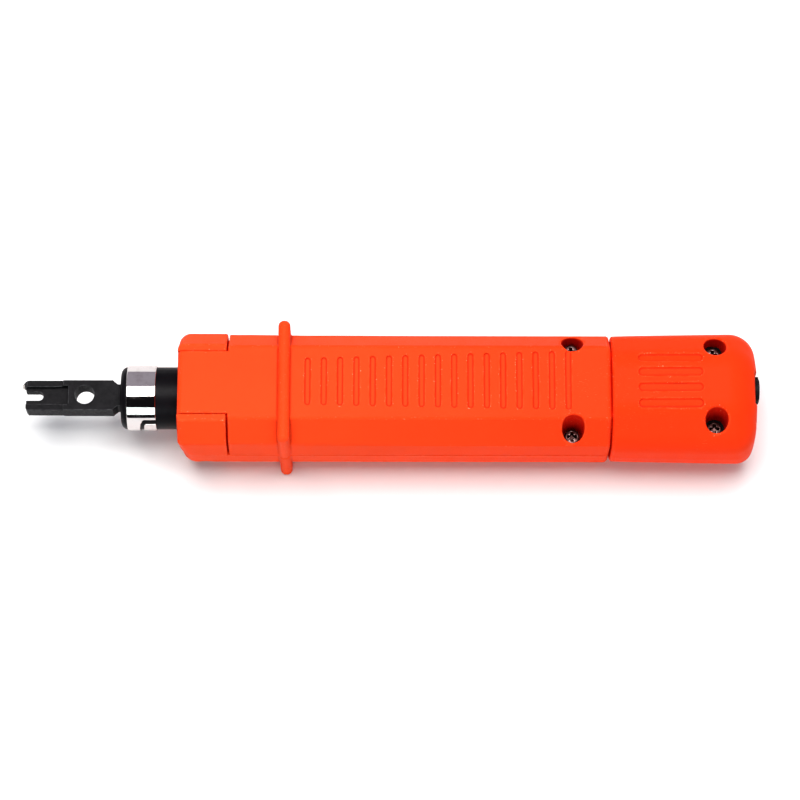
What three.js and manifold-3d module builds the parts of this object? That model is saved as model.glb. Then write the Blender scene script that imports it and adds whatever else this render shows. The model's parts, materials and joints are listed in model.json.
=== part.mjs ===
// Punch down tool with an adjustable impact mechanism, in millimetres.
// The tool lies along X: the blade points to -X, the turning cap is at +X, the grooved face looks up to +Z.
// While it is built, X = 0 is the front face of the housing and the tool's axis is y = z = 0.
import * as THREE from "three";
import { mergeVertices } from "three/addons/utils/BufferGeometryUtils.js";
import Module from "manifold-3d";

const wasm = await Module();
wasm.setup();

// Housing
const HOUSING_FRONT = -0.3;
const HOUSING_LENGTH = 106.2;
const SIDE_HALF_WIDTH = 14.75;
const SHOULDER_HALF_WIDTH = 14.2;
const SHOULDER_HEIGHT = 7.8;
const TOP_HALF_WIDTH = 9.3;
const TOP_HEIGHT = 14.0;
const WALL = 2.4;
const PARTING_GAP = 0.3;
const NOSE_FRONT = -0.7;
const NOSE_LENGTH = 11.4;
const NOSE_SLIT = 0.5;
const TONGUE_HALF_WIDTH = 8.0;
const TONGUE_FLOOR = 11.8;
const NOSE_CORNER_RADIUS = 4.3;
const GUARD_CENTRE = 25.65;
const GUARD_THICKNESS = 2.9;
const GUARD_HALF_WIDTH = 15.5;
const GUARD_HALF_HEIGHT = 15.75;
const GROOVE_COUNT = 17;
const GROOVE_FIRST = 31.6;
const GROOVE_PITCH = 4.01;
const GROOVE_WIDTH = 1.63;
const GROOVE_DEPTH = 0.5;
const GROOVE_HALF_LENGTH_FRONT = 6.0;
const GROOVE_HALF_LENGTH_REAR = 7.6;
const GROOVE_DRIFT = 0.4;
const HOUSING_SCREW_X = 96.9;
const HOUSING_SCREW_Y = 11.0;
const NOSE_SCREW_X = 5.7;
const NOSE_SCREW_Y = 11.3;
const COUNTERBORE_RADIUS = 2.75;
const DEEP_RADIUS = 2.3;
const SMALL_HEAD_RADIUS = 1.95;
const SCREW_CLEARANCE_RADIUS = 1.7;

// Barrel inside the housing
const BARREL_RADIUS = 10.35;
const PLUNGER_BORE_RADIUS = 8.05;
const BORE_MOUTH_RADIUS = 8.5;
const BORE_MOUTH_END = 0.6;
const RIB_THICKNESS = 1.8;
const RIB_STATIONS = [16.5, 25.65, 43, 56, 69, 82];
const REAR_BORE_RADIUS = 8.5;

// Rear cap
const CAP_START = 106.6;
const CAP_END = 142.8;
const CAP_GROWTH = 0.55;
const CAP_SECTION = [[15.15, 0], [14.8, 7.2], [6.6, 14.3]];
const CAP_CORNER_RADIUS = 9.0;
const CAP_CORNER_STEPS = 3;
const CAP_END_RADIUS = 5.6;
const CAP_WALL = 2.4;
const CAP_GROOVE_START = 113.0;
const CAP_GROOVE_END = 128.9;
const CAP_GROOVE_WIDTH = 2.2;
const CAP_GROOVE_PITCH = 3.95;
const CAP_SCREW_X = 132.2;
const CAP_SCREW_Y = 9.6;
const CAP_OFFSET = 0.5;
const CAP_GROOVE_DEPTH = 0.4;

// Spare blade stored in the cap
const SPARE_SHIFT = 147.9;
const SPARE_HEIGHT = 7.3;
const POCKET_HALF_WIDTH = 4.1;
const POCKET_FLOOR = 4.2;
const POCKET_ROOF = 10.4;

// Plunger and blade socket
const PLUNGER_RADIUS = 7.75;
const PLUNGER_FRONT = -15.2;
const SHOULDER_RADIUS = 9.5;
const RING_FRONT = -13.6;
const RING_REAR = -6.4;
const RING_OUTER_RADIUS = 8.15;
const RING_THICKNESS = 0.35;
const RING_GAP_HALF_WIDTH = 0.5;
const RING_GAP_TURN = 3.4;
const RING_GAP_START = 157;
const RING_GAP_END = 222;
const ROD_RADIUS = 3.0;
const ROD_END = 24.2;

// Blade
const BLADE_TIP = -40.2;
const FORK_END = -39.1;
const FORK_ROOT = -34.8;
const FORK_SLOT_WIDTH = 2.3;
const FORK_SLOT_Y = 0.1;
const RAIL_STEP = -29.8;
const CHANNEL_END = -28.4;
const BLADE_SHOULDER = -17.4;
const BLADE_HALF_WIDTH = 3.75;
const BLADE_HALF_THICKNESS = 2.75;
const RAIL_HALF_THICKNESS = 2.3;
const WEB_HALF_THICKNESS = 1.2;
const BLADE_HOLE_X = -24.4;
const BLADE_HOLE_RADIUS = 2.4;
const SHANK_RADIUS = 2.75;
const SHANK_END = -4.7;
const LUG_LENGTH = 2.2;
const LUG_HALF_SPAN = 3.3;
const LUG_HALF_THICKNESS = 1.1;

// Impact mechanism
const HAMMER_FRONT = 19.5;
const HAMMER_REAR = 42.0;
const HAMMER_RADIUS = 10.0;
const SEAR_FRONT = 24.5;
const SEAR_REAR = 30.0;
const SEAR_TOP = 11.3;
const SEAR_OFFSET = 1.5;
const RAMP_SLOPE = 1.5 / 6.5;
const SEAT_FRONT = 88.0;
const CAM_INNER_RADIUS = 4.9;
const CAM_OUTER_RADIUS = 7.2;
const CAM_RISE = 3.0;
const CAM_START = 90.6;

// ---- Conversion between three.js geometry and solids ----

function toSolid(geometry) {
  const bare = geometry.clone();
  bare.deleteAttribute("normal");
  bare.deleteAttribute("uv");
  const welded = mergeVertices(bare, 1e-4);
  const mesh = new wasm.Mesh({
    numProp: 3,
    vertProperties: new Float32Array(welded.attributes.position.array),
    triVerts: new Uint32Array(welded.index.array),
  });
  return new wasm.Manifold(mesh);
}

function toGeometry(solid) {
  const mesh = solid.getMesh();
  const geometry = new THREE.BufferGeometry();
  geometry.setAttribute("position", new THREE.BufferAttribute(new Float32Array(mesh.vertProperties), 3));
  geometry.setIndex(new THREE.BufferAttribute(new Uint32Array(mesh.triVerts), 1));
  geometry.computeVertexNormals();
  return geometry;
}

function join(...solids) {
  return solids.reduce((whole, solid) => whole.add(solid));
}

function cut(base, ...tools) {
  return tools.reduce((whole, tool) => whole.subtract(tool), base);
}

// ---- Simple bodies ----

function block(x0, x1, y0, y1, z0, z1) {
  const geometry = new THREE.BoxGeometry(x1 - x0, y1 - y0, z1 - z0);
  geometry.translate((x0 + x1) / 2, (y0 + y1) / 2, (z0 + z1) / 2);
  return toSolid(geometry);
}

function turned(profile, sides) {
  // Turns a list of [x, radius] corners about the X axis. The list starts and ends on the axis.
  const points = profile.map(([x, radius]) => new THREE.Vector2(radius, x));
  const geometry = new THREE.LatheGeometry(points, sides);
  geometry.rotateZ(-Math.PI / 2);
  return toSolid(geometry);
}

function rodX(radius, x0, x1, y = 0, z = 0, sides = 32) {
  const corners = [[x0, 0], [x0, radius], [x1, radius], [x1, 0]];
  return turned(corners, sides).translate([0, y, z]);
}

function rodZ(radius, z0, z1, x, y, sides = 20) {
  const geometry = new THREE.CylinderGeometry(radius, radius, z1 - z0, sides);
  geometry.rotateX(Math.PI / 2);
  geometry.translate(x, y, (z0 + z1) / 2);
  return toSolid(geometry);
}

function rodY(radius, y0, y1, x, z, sides = 20) {
  const geometry = new THREE.CylinderGeometry(radius, radius, y1 - y0, sides);
  geometry.translate(x, (y0 + y1) / 2, z);
  return toSolid(geometry);
}

function roundedShape(corners, radius) {
  // A closed outline through the corners, each one rounded over the given length.
  const shape = new THREE.Shape();
  corners.forEach(([u, v], i) => {
    const here = new THREE.Vector2(u, v);
    const before = new THREE.Vector2(...corners[(i + corners.length - 1) % corners.length]);
    const after = new THREE.Vector2(...corners[(i + 1) % corners.length]);
    const start = here.clone().add(before.sub(here).setLength(radius));
    const end = here.clone().add(after.sub(here).setLength(radius));
    if (i === 0) {
      shape.moveTo(start.x, start.y);
    } else {
      shape.lineTo(start.x, start.y);
    }
    shape.quadraticCurveTo(here.x, here.y, end.x, end.y);
  });
  shape.closePath();
  return shape;
}

function extrudeZ(shape, z0, z1, curveSegments = 4) {
  const geometry = new THREE.ExtrudeGeometry(shape, { depth: z1 - z0, bevelEnabled: false, curveSegments });
  geometry.translate(0, 0, z0);
  return toSolid(geometry);
}

function extrudeX(shape, x0, x1, curveSegments = 3) {
  // The outline's first coordinate becomes Y and its second Z.
  const geometry = new THREE.ExtrudeGeometry(shape, { depth: x1 - x0, bevelEnabled: false, curveSegments });
  geometry.applyMatrix4(new THREE.Matrix4().set(0, 0, 1, x0, 1, 0, 0, 0, 0, 1, 0, 0, 0, 0, 0, 1));
  return toSolid(geometry);
}

function rectangle(u0, u1, v0, v1) {
  return [[u0, v0], [u1, v0], [u1, v1], [u0, v1]];
}

function slotShape(u0, u1, v, width) {
  // A straight slot with round ends, lying along the first coordinate.
  const radius = width / 2;
  const shape = new THREE.Shape();
  shape.absarc(u1 - radius, v, radius, -Math.PI / 2, Math.PI / 2, false);
  shape.absarc(u0 + radius, v, radius, Math.PI / 2, Math.PI * 1.5, false);
  shape.closePath();
  return shape;
}

function coil(radius, wireRadius, start, end, turns, endPitch, stepsPerTurn, sides) {
  // A compression spring about the X axis. Its first and last turns are closed up.
  class Helix extends THREE.Curve {
    getPoint(t) {
      const turn = t * turns;
      const open = (end - start - 2 * endPitch) / (turns - 2);
      let x = start + turn * endPitch;
      if (turn > turns - 1) {
        x = end - (turns - turn) * endPitch;
      } else if (turn > 1) {
        x = start + endPitch + (turn - 1) * open;
      }
      const angle = turn * Math.PI * 2;
      return new THREE.Vector3(x, radius * Math.cos(angle), radius * Math.sin(angle));
    }
  }
  const wire = new THREE.Shape();
  for (let i = 0; i < sides; i += 1) {
    const angle = (i / sides) * Math.PI * 2;
    const corner = [wireRadius * Math.cos(angle), wireRadius * Math.sin(angle)];
    if (i === 0) {
      wire.moveTo(...corner);
    } else {
      wire.lineTo(...corner);
    }
  }
  wire.closePath();
  const steps = Math.round(turns * stepsPerTurn);
  const geometry = new THREE.ExtrudeGeometry(wire, { steps, bevelEnabled: false, extrudePath: new Helix() });
  return toSolid(geometry);
}

function cam(innerRadius, outerRadius, back, start, rise, steps, turnedBy) {
  // A ring with a flat back and two helical ramps on its +X face, each climbing over half a turn.
  const positions = [];
  const corner = (radius, angle, x) => [x, radius * Math.cos(angle), radius * Math.sin(angle)];
  const triangle = (a, b, c) => positions.push(...a, ...b, ...c);
  const quad = (a, b, c, d) => {
    triangle(a, b, c);
    triangle(a, c, d);
  };
  for (let lobe = 0; lobe < 2; lobe += 1) {
    for (let i = 0; i < steps; i += 1) {
      const angleA = turnedBy + Math.PI * (lobe + i / steps);
      const angleB = turnedBy + Math.PI * (lobe + (i + 1) / steps);
      const heightA = start + (rise * i) / steps;
      const heightB = start + (rise * (i + 1)) / steps;
      const innerBackA = corner(innerRadius, angleA, back);
      const innerBackB = corner(innerRadius, angleB, back);
      const outerBackA = corner(outerRadius, angleA, back);
      const outerBackB = corner(outerRadius, angleB, back);
      const innerTopA = corner(innerRadius, angleA, heightA);
      const innerTopB = corner(innerRadius, angleB, heightB);
      const outerTopA = corner(outerRadius, angleA, heightA);
      const outerTopB = corner(outerRadius, angleB, heightB);
      quad(innerTopA, outerTopA, outerTopB, innerTopB);
      quad(innerBackA, innerBackB, outerBackB, outerBackA);
      if (i < steps - 1) {
        quad(outerBackA, outerBackB, outerTopB, outerTopA);
        quad(innerBackA, innerTopA, innerTopB, innerBackB);
      } else {
        const innerLowB = corner(innerRadius, angleB, start);
        const outerLowB = corner(outerRadius, angleB, start);
        quad(outerBackA, outerBackB, outerLowB, outerTopB);
        triangle(outerBackA, outerTopB, outerTopA);
        quad(innerBackA, innerTopB, innerLowB, innerBackB);
        triangle(innerBackA, innerTopA, innerTopB);
        quad(innerLowB, innerTopB, outerTopB, outerLowB);
      }
    }
  }
  const geometry = new THREE.BufferGeometry();
  geometry.setAttribute("position", new THREE.BufferAttribute(new Float32Array(positions), 3));
  return toSolid(geometry);
}

// ---- Housing ----

function housingCorners(inset) {
  const side = SIDE_HALF_WIDTH - inset;
  const shoulder = SHOULDER_HALF_WIDTH - inset;
  const shoulderHeight = SHOULDER_HEIGHT - 0.4 * inset;
  const top = TOP_HALF_WIDTH - 0.4 * inset;
  const height = TOP_HEIGHT - inset;
  return [
    [side, 0], [shoulder, shoulderHeight], [top, height], [-top, height], [-shoulder, shoulderHeight],
    [-side, 0], [-shoulder, -shoulderHeight], [-top, -height], [top, -height], [shoulder, -shoulderHeight],
  ];
}

function housingBody(inset, x0, x1) {
  // The outside has rounded edges. Inner faces and ribs are plain.
  const corners = housingCorners(inset);
  if (inset > 0) {
    return extrudeX(new THREE.Shape(corners.map(([y, z]) => new THREE.Vector2(y, z))), x0, x1);
  }
  return extrudeX(roundedShape(corners, 1.6), x0, x1);
}

function guard() {
  const bevel = GUARD_THICKNESS / 2 - 0.1;
  const half = [GUARD_HALF_WIDTH - bevel, GUARD_HALF_HEIGHT - bevel];
  const outline = roundedShape(rectangle(-half[0], half[0], -half[1], half[1]), 0.4);
  const geometry = new THREE.ExtrudeGeometry(outline, {
    depth: GUARD_THICKNESS - 2 * bevel,
    bevelThickness: bevel,
    bevelSize: bevel,
    bevelSegments: 3,
    curveSegments: 3,
  });
  geometry.translate(0, 0, -GUARD_THICKNESS / 2 + bevel);
  geometry.applyMatrix4(new THREE.Matrix4().set(0, 0, 1, GUARD_CENTRE, 1, 0, 0, 0, 0, 1, 0, 0, 0, 0, 0, 1));
  return toSolid(geometry);
}

function grooves(z0, z1) {
  // The row of finger grooves across a grip face. They get longer towards the rear.
  const solids = [];
  for (let i = 0; i < GROOVE_COUNT; i += 1) {
    const share = i / (GROOVE_COUNT - 1);
    const half = GROOVE_HALF_LENGTH_FRONT + share * (GROOVE_HALF_LENGTH_REAR - GROOVE_HALF_LENGTH_FRONT);
    const groove = extrudeZ(slotShape(-half, half, 0, GROOVE_WIDTH), z0, z1, 3);
    const centre = [GROOVE_FIRST + i * GROOVE_PITCH, share * GROOVE_DRIFT, 0];
    solids.push(groove.rotate([0, 0, 90]).translate(centre));
  }
  return join(...solids);
}

function frontOutline(front) {
  // The housing seen from above, with its two front corners rounded. It trims the housing's front.
  const wide = SIDE_HALF_WIDTH + 5;
  const corner = SIDE_HALF_WIDTH + 0.3;
  const round = NOSE_CORNER_RADIUS;
  const shape = new THREE.Shape();
  shape.moveTo(20, -corner);
  shape.lineTo(20, corner);
  shape.lineTo(front + round, corner);
  shape.quadraticCurveTo(front, corner, front, corner - round);
  shape.lineTo(front, -corner + round);
  shape.quadraticCurveTo(front, -corner, front + round, -corner);
  shape.closePath();
  const corners = extrudeZ(shape, -wide, wide, 6);
  return join(corners, block(19, HOUSING_LENGTH + 5, -wide, wide, -wide, wide));
}

function barrelBores(side) {
  // What the moving pieces inside need: plunger bore, hammer barrel, hub bearing and the flange groove.
  const keyways = block(84, 92.6, -12.0, 12.0, -1.7, 1.7);
  return join(
    rodX(BARREL_RADIUS, NOSE_LENGTH, 90),
    rodX(PLUNGER_BORE_RADIUS, -1, NOSE_LENGTH + 1),
    rodX(REAR_BORE_RADIUS, 80, HOUSING_LENGTH + 1),
    keyways,
    side > 0 ? block(21, 37.5, -4, 4, 0, 11.9) : block(21, 22, -1, 1, -1, 1),
  );
}

function shell(side) {
  // side is 1 for the top half and -1 for the bottom half.
  const low = side > 0 ? PARTING_GAP / 2 : -20;
  const high = side > 0 ? 20 : -PARTING_GAP / 2;
  const front = side > 0 ? NOSE_LENGTH + NOSE_SLIT : HOUSING_FRONT;
  const halfSpace = block(-1, HOUSING_LENGTH + 1, -20, 20, low, high);
  const outer = housingBody(0, HOUSING_FRONT, HOUSING_LENGTH);
  const cavities = join(
    housingBody(WALL, side > 0 ? 5 : 2.0, HOUSING_LENGTH - 2.8),
    rodX(PLUNGER_BORE_RADIUS, -1, 8),
  );
  const ribs = RIB_STATIONS.map((x) => housingBody(1.2, x - RIB_THICKNESS / 2, x + RIB_THICKNESS / 2));
  ribs.push(housingBody(1.2, 98.6, 100.3));
  const rails = [-1, 1].map((across) => {
    const y = across * 11.5;
    const z = side * 2.6;
    return block(84, 92.6, y - 1.2, y + 1.2, z - 0.9, z + 0.9);
  });
  const rearBosses = [-1, 1].map((across) => {
    const y = across * HOUSING_SCREW_Y;
    return rodZ(3.2, side > 0 ? 0 : -12.2, side > 0 ? 11.8 : 0, HOUSING_SCREW_X, y);
  });
  let inner = join(...ribs, ...rails, ...rearBosses);
  if (side < 0) {
    const cradle = housingBody(1.2, NOSE_LENGTH - 2.0, NOSE_LENGTH);
    const noseBosses = [-1, 1].map((across) => {
      return rodZ(3.1, -12, 0, NOSE_SCREW_X, across * NOSE_SCREW_Y);
    });
    inner = join(inner, cradle, ...noseBosses);
  }
  const trimmed = inner.intersect(outer).subtract(barrelBores(side));
  let solid = join(cut(outer, cavities), guardWithout(side), trimmed);
  solid = solid.subtract(rodX(REAR_BORE_RADIUS, 100, HOUSING_LENGTH + 1));
  solid = solid.subtract(rodX(PLUNGER_BORE_RADIUS, -1, NOSE_LENGTH + 1)).subtract(boreMouth());
  if (side > 0) {
    solid = cut(solid, block(-1, front, -20, 20, -1, 20));
    solid = join(solid, tongue(), searRamp());
    solid = solid.subtract(grooves(TOP_HEIGHT - GROOVE_DEPTH, TOP_HEIGHT + 1));
  } else {
    solid = solid.subtract(grooves(-TOP_HEIGHT - 1, -TOP_HEIGHT + GROOVE_DEPTH));
  }
  solid = solid.intersect(halfSpace).intersect(frontOutline(HOUSING_FRONT));
  return solid.subtract(shellScrewHoles(side));
}

function boreMouth() {
  // Wider start of the plunger's bore, which takes in the spring band's rear edge at the end of a stroke.
  return rodX(BORE_MOUTH_RADIUS, NOSE_FRONT - 1, BORE_MOUTH_END);
}

function guardWithout() {
  // The guard flange stands out all round the housing and leaves its inside free.
  return cut(guard(), housingBody(WALL, GUARD_CENTRE - 5, GUARD_CENTRE + 5));
}

function tongue() {
  // The front of the top shell reaches forward over the nose block.
  const plate = housingBody(0, HOUSING_FRONT, NOSE_LENGTH + 4);
  const half = TONGUE_HALF_WIDTH;
  return plate.intersect(block(HOUSING_FRONT, NOSE_LENGTH + 4, -half, half, TONGUE_FLOOR + 0.3, 20));
}

function searRamp() {
  // Pushes the sear block down as the hammer is pressed back. Its flat part holds the block in line.
  const top = SEAR_TOP + 0.3;
  const corners = [
    [SEAR_REAR + 0.2, top],
    [SEAR_REAR + 6.5, top - 6.5 * RAMP_SLOPE],
    [40.5, top - 6.5 * RAMP_SLOPE],
    [40.5, 12.4],
    [SEAR_REAR + 0.2, 12.4],
  ];
  const shape = new THREE.Shape(corners.map(([x, z]) => new THREE.Vector2(x, z)));
  const solid = extrudeZ(shape, -2.4, 2.4);
  return solid.rotate([90, 0, 0]);
}

function shellScrewHoles(side) {
  const holes = [];
  for (const across of [-1, 1]) {
    const rearY = across * HOUSING_SCREW_Y;
    const noseY = across * NOSE_SCREW_Y;
    if (side > 0) {
      holes.push(rodZ(COUNTERBORE_RADIUS, 6.5, 20, HOUSING_SCREW_X, rearY, 24));
      holes.push(rodZ(DEEP_RADIUS, 2.2, 7, HOUSING_SCREW_X, rearY, 24));
      holes.push(rodZ(SCREW_CLEARANCE_RADIUS, -1, 5, HOUSING_SCREW_X, rearY));
    } else {
      holes.push(rodZ(SCREW_CLEARANCE_RADIUS, -9.2, 1, HOUSING_SCREW_X, rearY));
      holes.push(rodZ(COUNTERBORE_RADIUS, -20, -8.8, NOSE_SCREW_X, noseY, 24));
      holes.push(rodZ(SCREW_CLEARANCE_RADIUS, -10, 1, NOSE_SCREW_X, noseY));
    }
  }
  return join(...holes);
}

function noseBlock() {
  // Bearing block at the front. Its two upper cheeks are part of the tool's outside.
  const half = TONGUE_HALF_WIDTH + 0.3;
  const body = extrudeX(roundedShape(housingCorners(-0.22), 1.6), NOSE_FRONT, NOSE_LENGTH);
  const upper = body.intersect(block(-1, 20, -20, 20, PARTING_GAP / 2, TOP_HEIGHT - 0.3));
  const holes = [-1, 1].map((across) => {
    return rodZ(SCREW_CLEARANCE_RADIUS, -1, 8.2, NOSE_SCREW_X, across * NOSE_SCREW_Y);
  });
  return cut(
    upper.intersect(frontOutline(NOSE_FRONT)),
    rodX(PLUNGER_BORE_RADIUS, -1, 20),
    boreMouth(),
    block(-1, 20, -half, half, TONGUE_FLOOR, 20),
    ...holes,
  );
}

// ---- Screws ----

function screw(headRadius, headTop, headHeight, length, x, y, direction) {
  // A cross-head screw standing along Z. direction is 1 when its head looks up.
  const head = rodZ(headRadius, -headHeight, 0, 0, 0, 24);
  const shank = rodZ(1.35, -headHeight - length, -headHeight + 0.2, 0, 0, 16);
  const cross = join(
    block(-1.3, 1.3, -0.32, 0.32, -1.0, 1),
    block(-0.32, 0.32, -1.3, 1.3, -1.0, 1),
  );
  let solid = cut(join(head, shank), cross);
  if (direction < 0) {
    solid = solid.rotate([180, 0, 0]);
  }
  return solid.translate([x, y, headTop]);
}

// ---- Rear cap and the hub inside it ----

function capOutline(inset, growth) {
  // The section, anticlockwise. It always has the same number of points, so stations can be joined.
  const [side, shoulder, top] = CAP_SECTION;
  const mirrored = (corner, y, z) => [corner[0] * y, corner[1] * z];
  const corners = [
    side, shoulder, top, mirrored(top, -1, 1), mirrored(shoulder, -1, 1),
    mirrored(side, -1, 1), mirrored(shoulder, -1, -1), mirrored(top, -1, -1), mirrored(top, 1, -1),
    mirrored(shoulder, 1, -1),
  ].map(([y, z]) => new THREE.Vector2(y, z));
  const radius = Math.max(CAP_CORNER_RADIUS - inset, 0.6);
  const points = [];
  corners.forEach((here, i) => {
    const before = here.clone().sub(corners[(i + corners.length - 1) % corners.length]);
    const after = corners[(i + 1) % corners.length].clone().sub(here);
    const first = new THREE.Vector2(before.y, -before.x).normalize();
    const last = new THREE.Vector2(after.y, -after.x).normalize();
    const back = (inset - growth + radius) / (1 + first.dot(last));
    const centre = here.clone().sub(first.clone().add(last).multiplyScalar(back));
    const steps = first.dot(last) > 0.97 ? 0 : CAP_CORNER_STEPS;
    for (let j = 0; j <= steps; j += 1) {
      const share = steps === 0 ? 0.5 : j / steps;
      const normal = first.clone().lerp(last, share).normalize();
      points.push([centre.x + radius * normal.x, centre.y + radius * normal.y]);
    }
  });
  return points;
}

function loftX(stations) {
  // Joins a row of outlines with the same number of points into one closed body.
  const positions = [];
  const triangle = (a, b, c) => positions.push(...a, ...b, ...c);
  const rings = stations.map(({ x, outline }) => outline.map(([y, z]) => [x, y, z]));
  const count = rings[0].length;
  for (let i = 0; i < rings.length - 1; i += 1) {
    for (let j = 0; j < count; j += 1) {
      const next = (j + 1) % count;
      triangle(rings[i][j], rings[i][next], rings[i + 1][next]);
      triangle(rings[i][j], rings[i + 1][next], rings[i + 1][j]);
    }
  }
  const first = [stations[0].x, 0, 0];
  const last = [stations[stations.length - 1].x, 0, 0];
  for (let j = 0; j < count; j += 1) {
    const next = (j + 1) % count;
    triangle(first, rings[0][next], rings[0][j]);
    triangle(last, rings[rings.length - 1][j], rings[rings.length - 1][next]);
  }
  const geometry = new THREE.BufferGeometry();
  geometry.setAttribute("position", new THREE.BufferAttribute(new Float32Array(positions), 3));
  return toSolid(geometry);
}

function capBody(inset, start, end) {
  const stations = [
    { x: start, outline: capOutline(inset + (inset > 0 ? 0 : 0.3), 0) },
    { x: CAP_START + 0.5, outline: capOutline(inset, 0) },
    { x: 118, outline: capOutline(inset, CAP_GROWTH * 0.7) },
  ];
  const radius = CAP_END_RADIUS - inset;
  for (let i = 0; i <= 5; i += 1) {
    const angle = (i / 5) * (Math.PI / 2);
    const x = end - radius + radius * Math.sin(angle);
    const drop = radius * (1 - Math.cos(angle));
    stations.push({ x, outline: capOutline(inset + Math.min(drop, CAP_CORNER_RADIUS), CAP_GROWTH) });
  }
  return loftX(stations);
}

function rearCap() {
  const shellWall = cut(
    capBody(0, CAP_START, CAP_END),
    capBody(CAP_WALL, CAP_START - 1, CAP_END - 2.8),
  );
  const bosses = [-1, 1].map((across) => {
    return rodZ(3.5, 4.5, 12.0, CAP_SCREW_X, CAP_OFFSET + across * CAP_SCREW_Y, 24);
  });
  let solid = join(shellWall, ...bosses);
  for (const across of [-1, 1]) {
    solid = cut(
      solid,
      rodZ(COUNTERBORE_RADIUS, 5.4, 20, CAP_SCREW_X, CAP_OFFSET + across * CAP_SCREW_Y, 24),
      rodZ(SCREW_CLEARANCE_RADIUS, 0, 8, CAP_SCREW_X, CAP_OFFSET + across * CAP_SCREW_Y),
    );
  }
  const below = capBody(CAP_GROOVE_DEPTH, CAP_START - 1, CAP_END);
  for (const row of [-1.5, -0.5, 0.5, 1.5]) {
    const y = CAP_OFFSET + row * CAP_GROOVE_PITCH;
    const shape = slotShape(CAP_GROOVE_START, CAP_GROOVE_END, y, CAP_GROOVE_WIDTH);
    solid = solid.subtract(cut(extrudeZ(shape, 8, 20), below));
  }
  const half = POCKET_HALF_WIDTH;
  return solid.subtract(block(138, 150, -half, half, POCKET_FLOOR, POCKET_ROOF));
}

function adjusterHub() {
  const bearing = turned(
    [
      [89.5, 0], [89.5, CAM_OUTER_RADIUS], [97, CAM_OUTER_RADIUS], [97, 7.6], [100.6, 7.6],
      [100.6, 10.4], [103.1, 10.4], [103.1, 8.1], [106.7, 8.1], [106.7, 10.8], [107.9, 10.8], [107.9, 0],
    ],
    32,
  );
  const plate = join(block(107.5, 137.5, -11.7, 11.7, -4.2, 4.2), block(124, 136, -12.3, 12.3, -4.2, 4.2));
  const webs = join(
    block(107.5, 137.5, -0.9, 0.9, -10.4, -4),
    block(107.5, 137.5, -5.3, -POCKET_HALF_WIDTH, 4, 8.9),
    block(107.5, 137.5, POCKET_HALF_WIDTH, 5.3, 4, 8.9),
  );
  const faceCam = cam(3.5, 8.0, 85, CAM_START + 0.35, CAM_RISE, 14, (3 * Math.PI) / 180);
  const holes = [-1, 1].map((across) => {
    return rodZ(SCREW_CLEARANCE_RADIUS, -3.9, 6, CAP_SCREW_X, CAP_OFFSET + across * CAP_SCREW_Y);
  });
  // The flange is relieved where the spare blade's tip comes close to it.
  const relief = block(107.3, 109, -POCKET_HALF_WIDTH, POCKET_HALF_WIDTH, 4.21, 12);
  const solid = join(bearing, plate, webs);
  return cut(solid, rodX(CAM_INNER_RADIUS, 85, 96, 0, 0, 32), faceCam, relief, ...holes);
}

// ---- Impact mechanism ----

function springSeat() {
  const disc = turned(
    [
      [82, 0], [82, 3.9], [82.8, 4.6], [SEAT_FRONT, 4.6],
      [SEAT_FRONT, 9.9], [SEAT_FRONT + 1.6, 9.9], [SEAT_FRONT + 1.6, 0],
    ],
    32,
  );
  const keys = block(SEAT_FRONT, SEAT_FRONT + 1.6, -11.6, 11.6, -1.3, 1.3);
  const ramps = cam(CAM_INNER_RADIUS, CAM_OUTER_RADIUS, SEAT_FRONT + 1, CAM_START, CAM_RISE, 14, 0);
  return join(disc, keys, ramps);
}

function hammer() {
  const radius = HAMMER_RADIUS;
  const body = turned(
    [
      [HAMMER_FRONT, 0], [HAMMER_FRONT, radius - 0.8], [HAMMER_FRONT + 0.8, radius], [HAMMER_REAR, radius],
      [HAMMER_REAR, 4.6], [HAMMER_REAR + 5.2, 4.6], [HAMMER_REAR + 6, 3.9], [HAMMER_REAR + 6, 0],
    ],
    32,
  );
  return cut(
    body,
    rodX(ROD_RADIUS + 0.3, HAMMER_FRONT - 1, SEAR_REAR + 5, 0, 0, 28),
    block(SEAR_FRONT - 0.3, SEAR_REAR + 0.3, -3.8, 3.8, -8.9, 11),
    block(SEAR_REAR, HAMMER_REAR + 1, -2.9, 2.9, 9.3, 11),
  );
}

function searBlock() {
  const body = block(SEAR_FRONT, SEAR_REAR, -3.5, 3.5, -4.6, SEAR_TOP);
  const hole = rodX(ROD_RADIUS + 0.3, SEAR_FRONT - 1, SEAR_REAR + 1, 0, SEAR_OFFSET, 28);
  return cut(body, hole);
}

function plungerSocket() {
  // Holds the blade. Its bayonet slot lets the blade's lugs in upright and locks them a quarter turn on.
  const front = PLUNGER_FRONT;
  const radius = PLUNGER_RADIUS;
  const body = turned(
    [
      [front, 0], [front, radius - 1.3], [front + 0.4, radius - 0.5], [front + 1.3, radius],
      [11.7, radius], [11.7, SHOULDER_RADIUS], [14.5, SHOULDER_RADIUS], [14.5, 0],
    ],
    40,
  );
  return cut(
    body,
    rodX(SHANK_RADIUS + 0.3, front - 1, -6, 0, 0, 28),
    block(front - 1, -6, -LUG_HALF_THICKNESS - 0.3, LUG_HALF_THICKNESS + 0.3, -3.7, 3.7),
    rodX(3.95, -7.2, -4.3, 0, 0, 32),
    rodX(ROD_RADIUS + 0.3, 9, 15, 0, 0, 28),
    rodY(2.35, 0, 9, -10.35, 0),
  );
}

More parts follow.
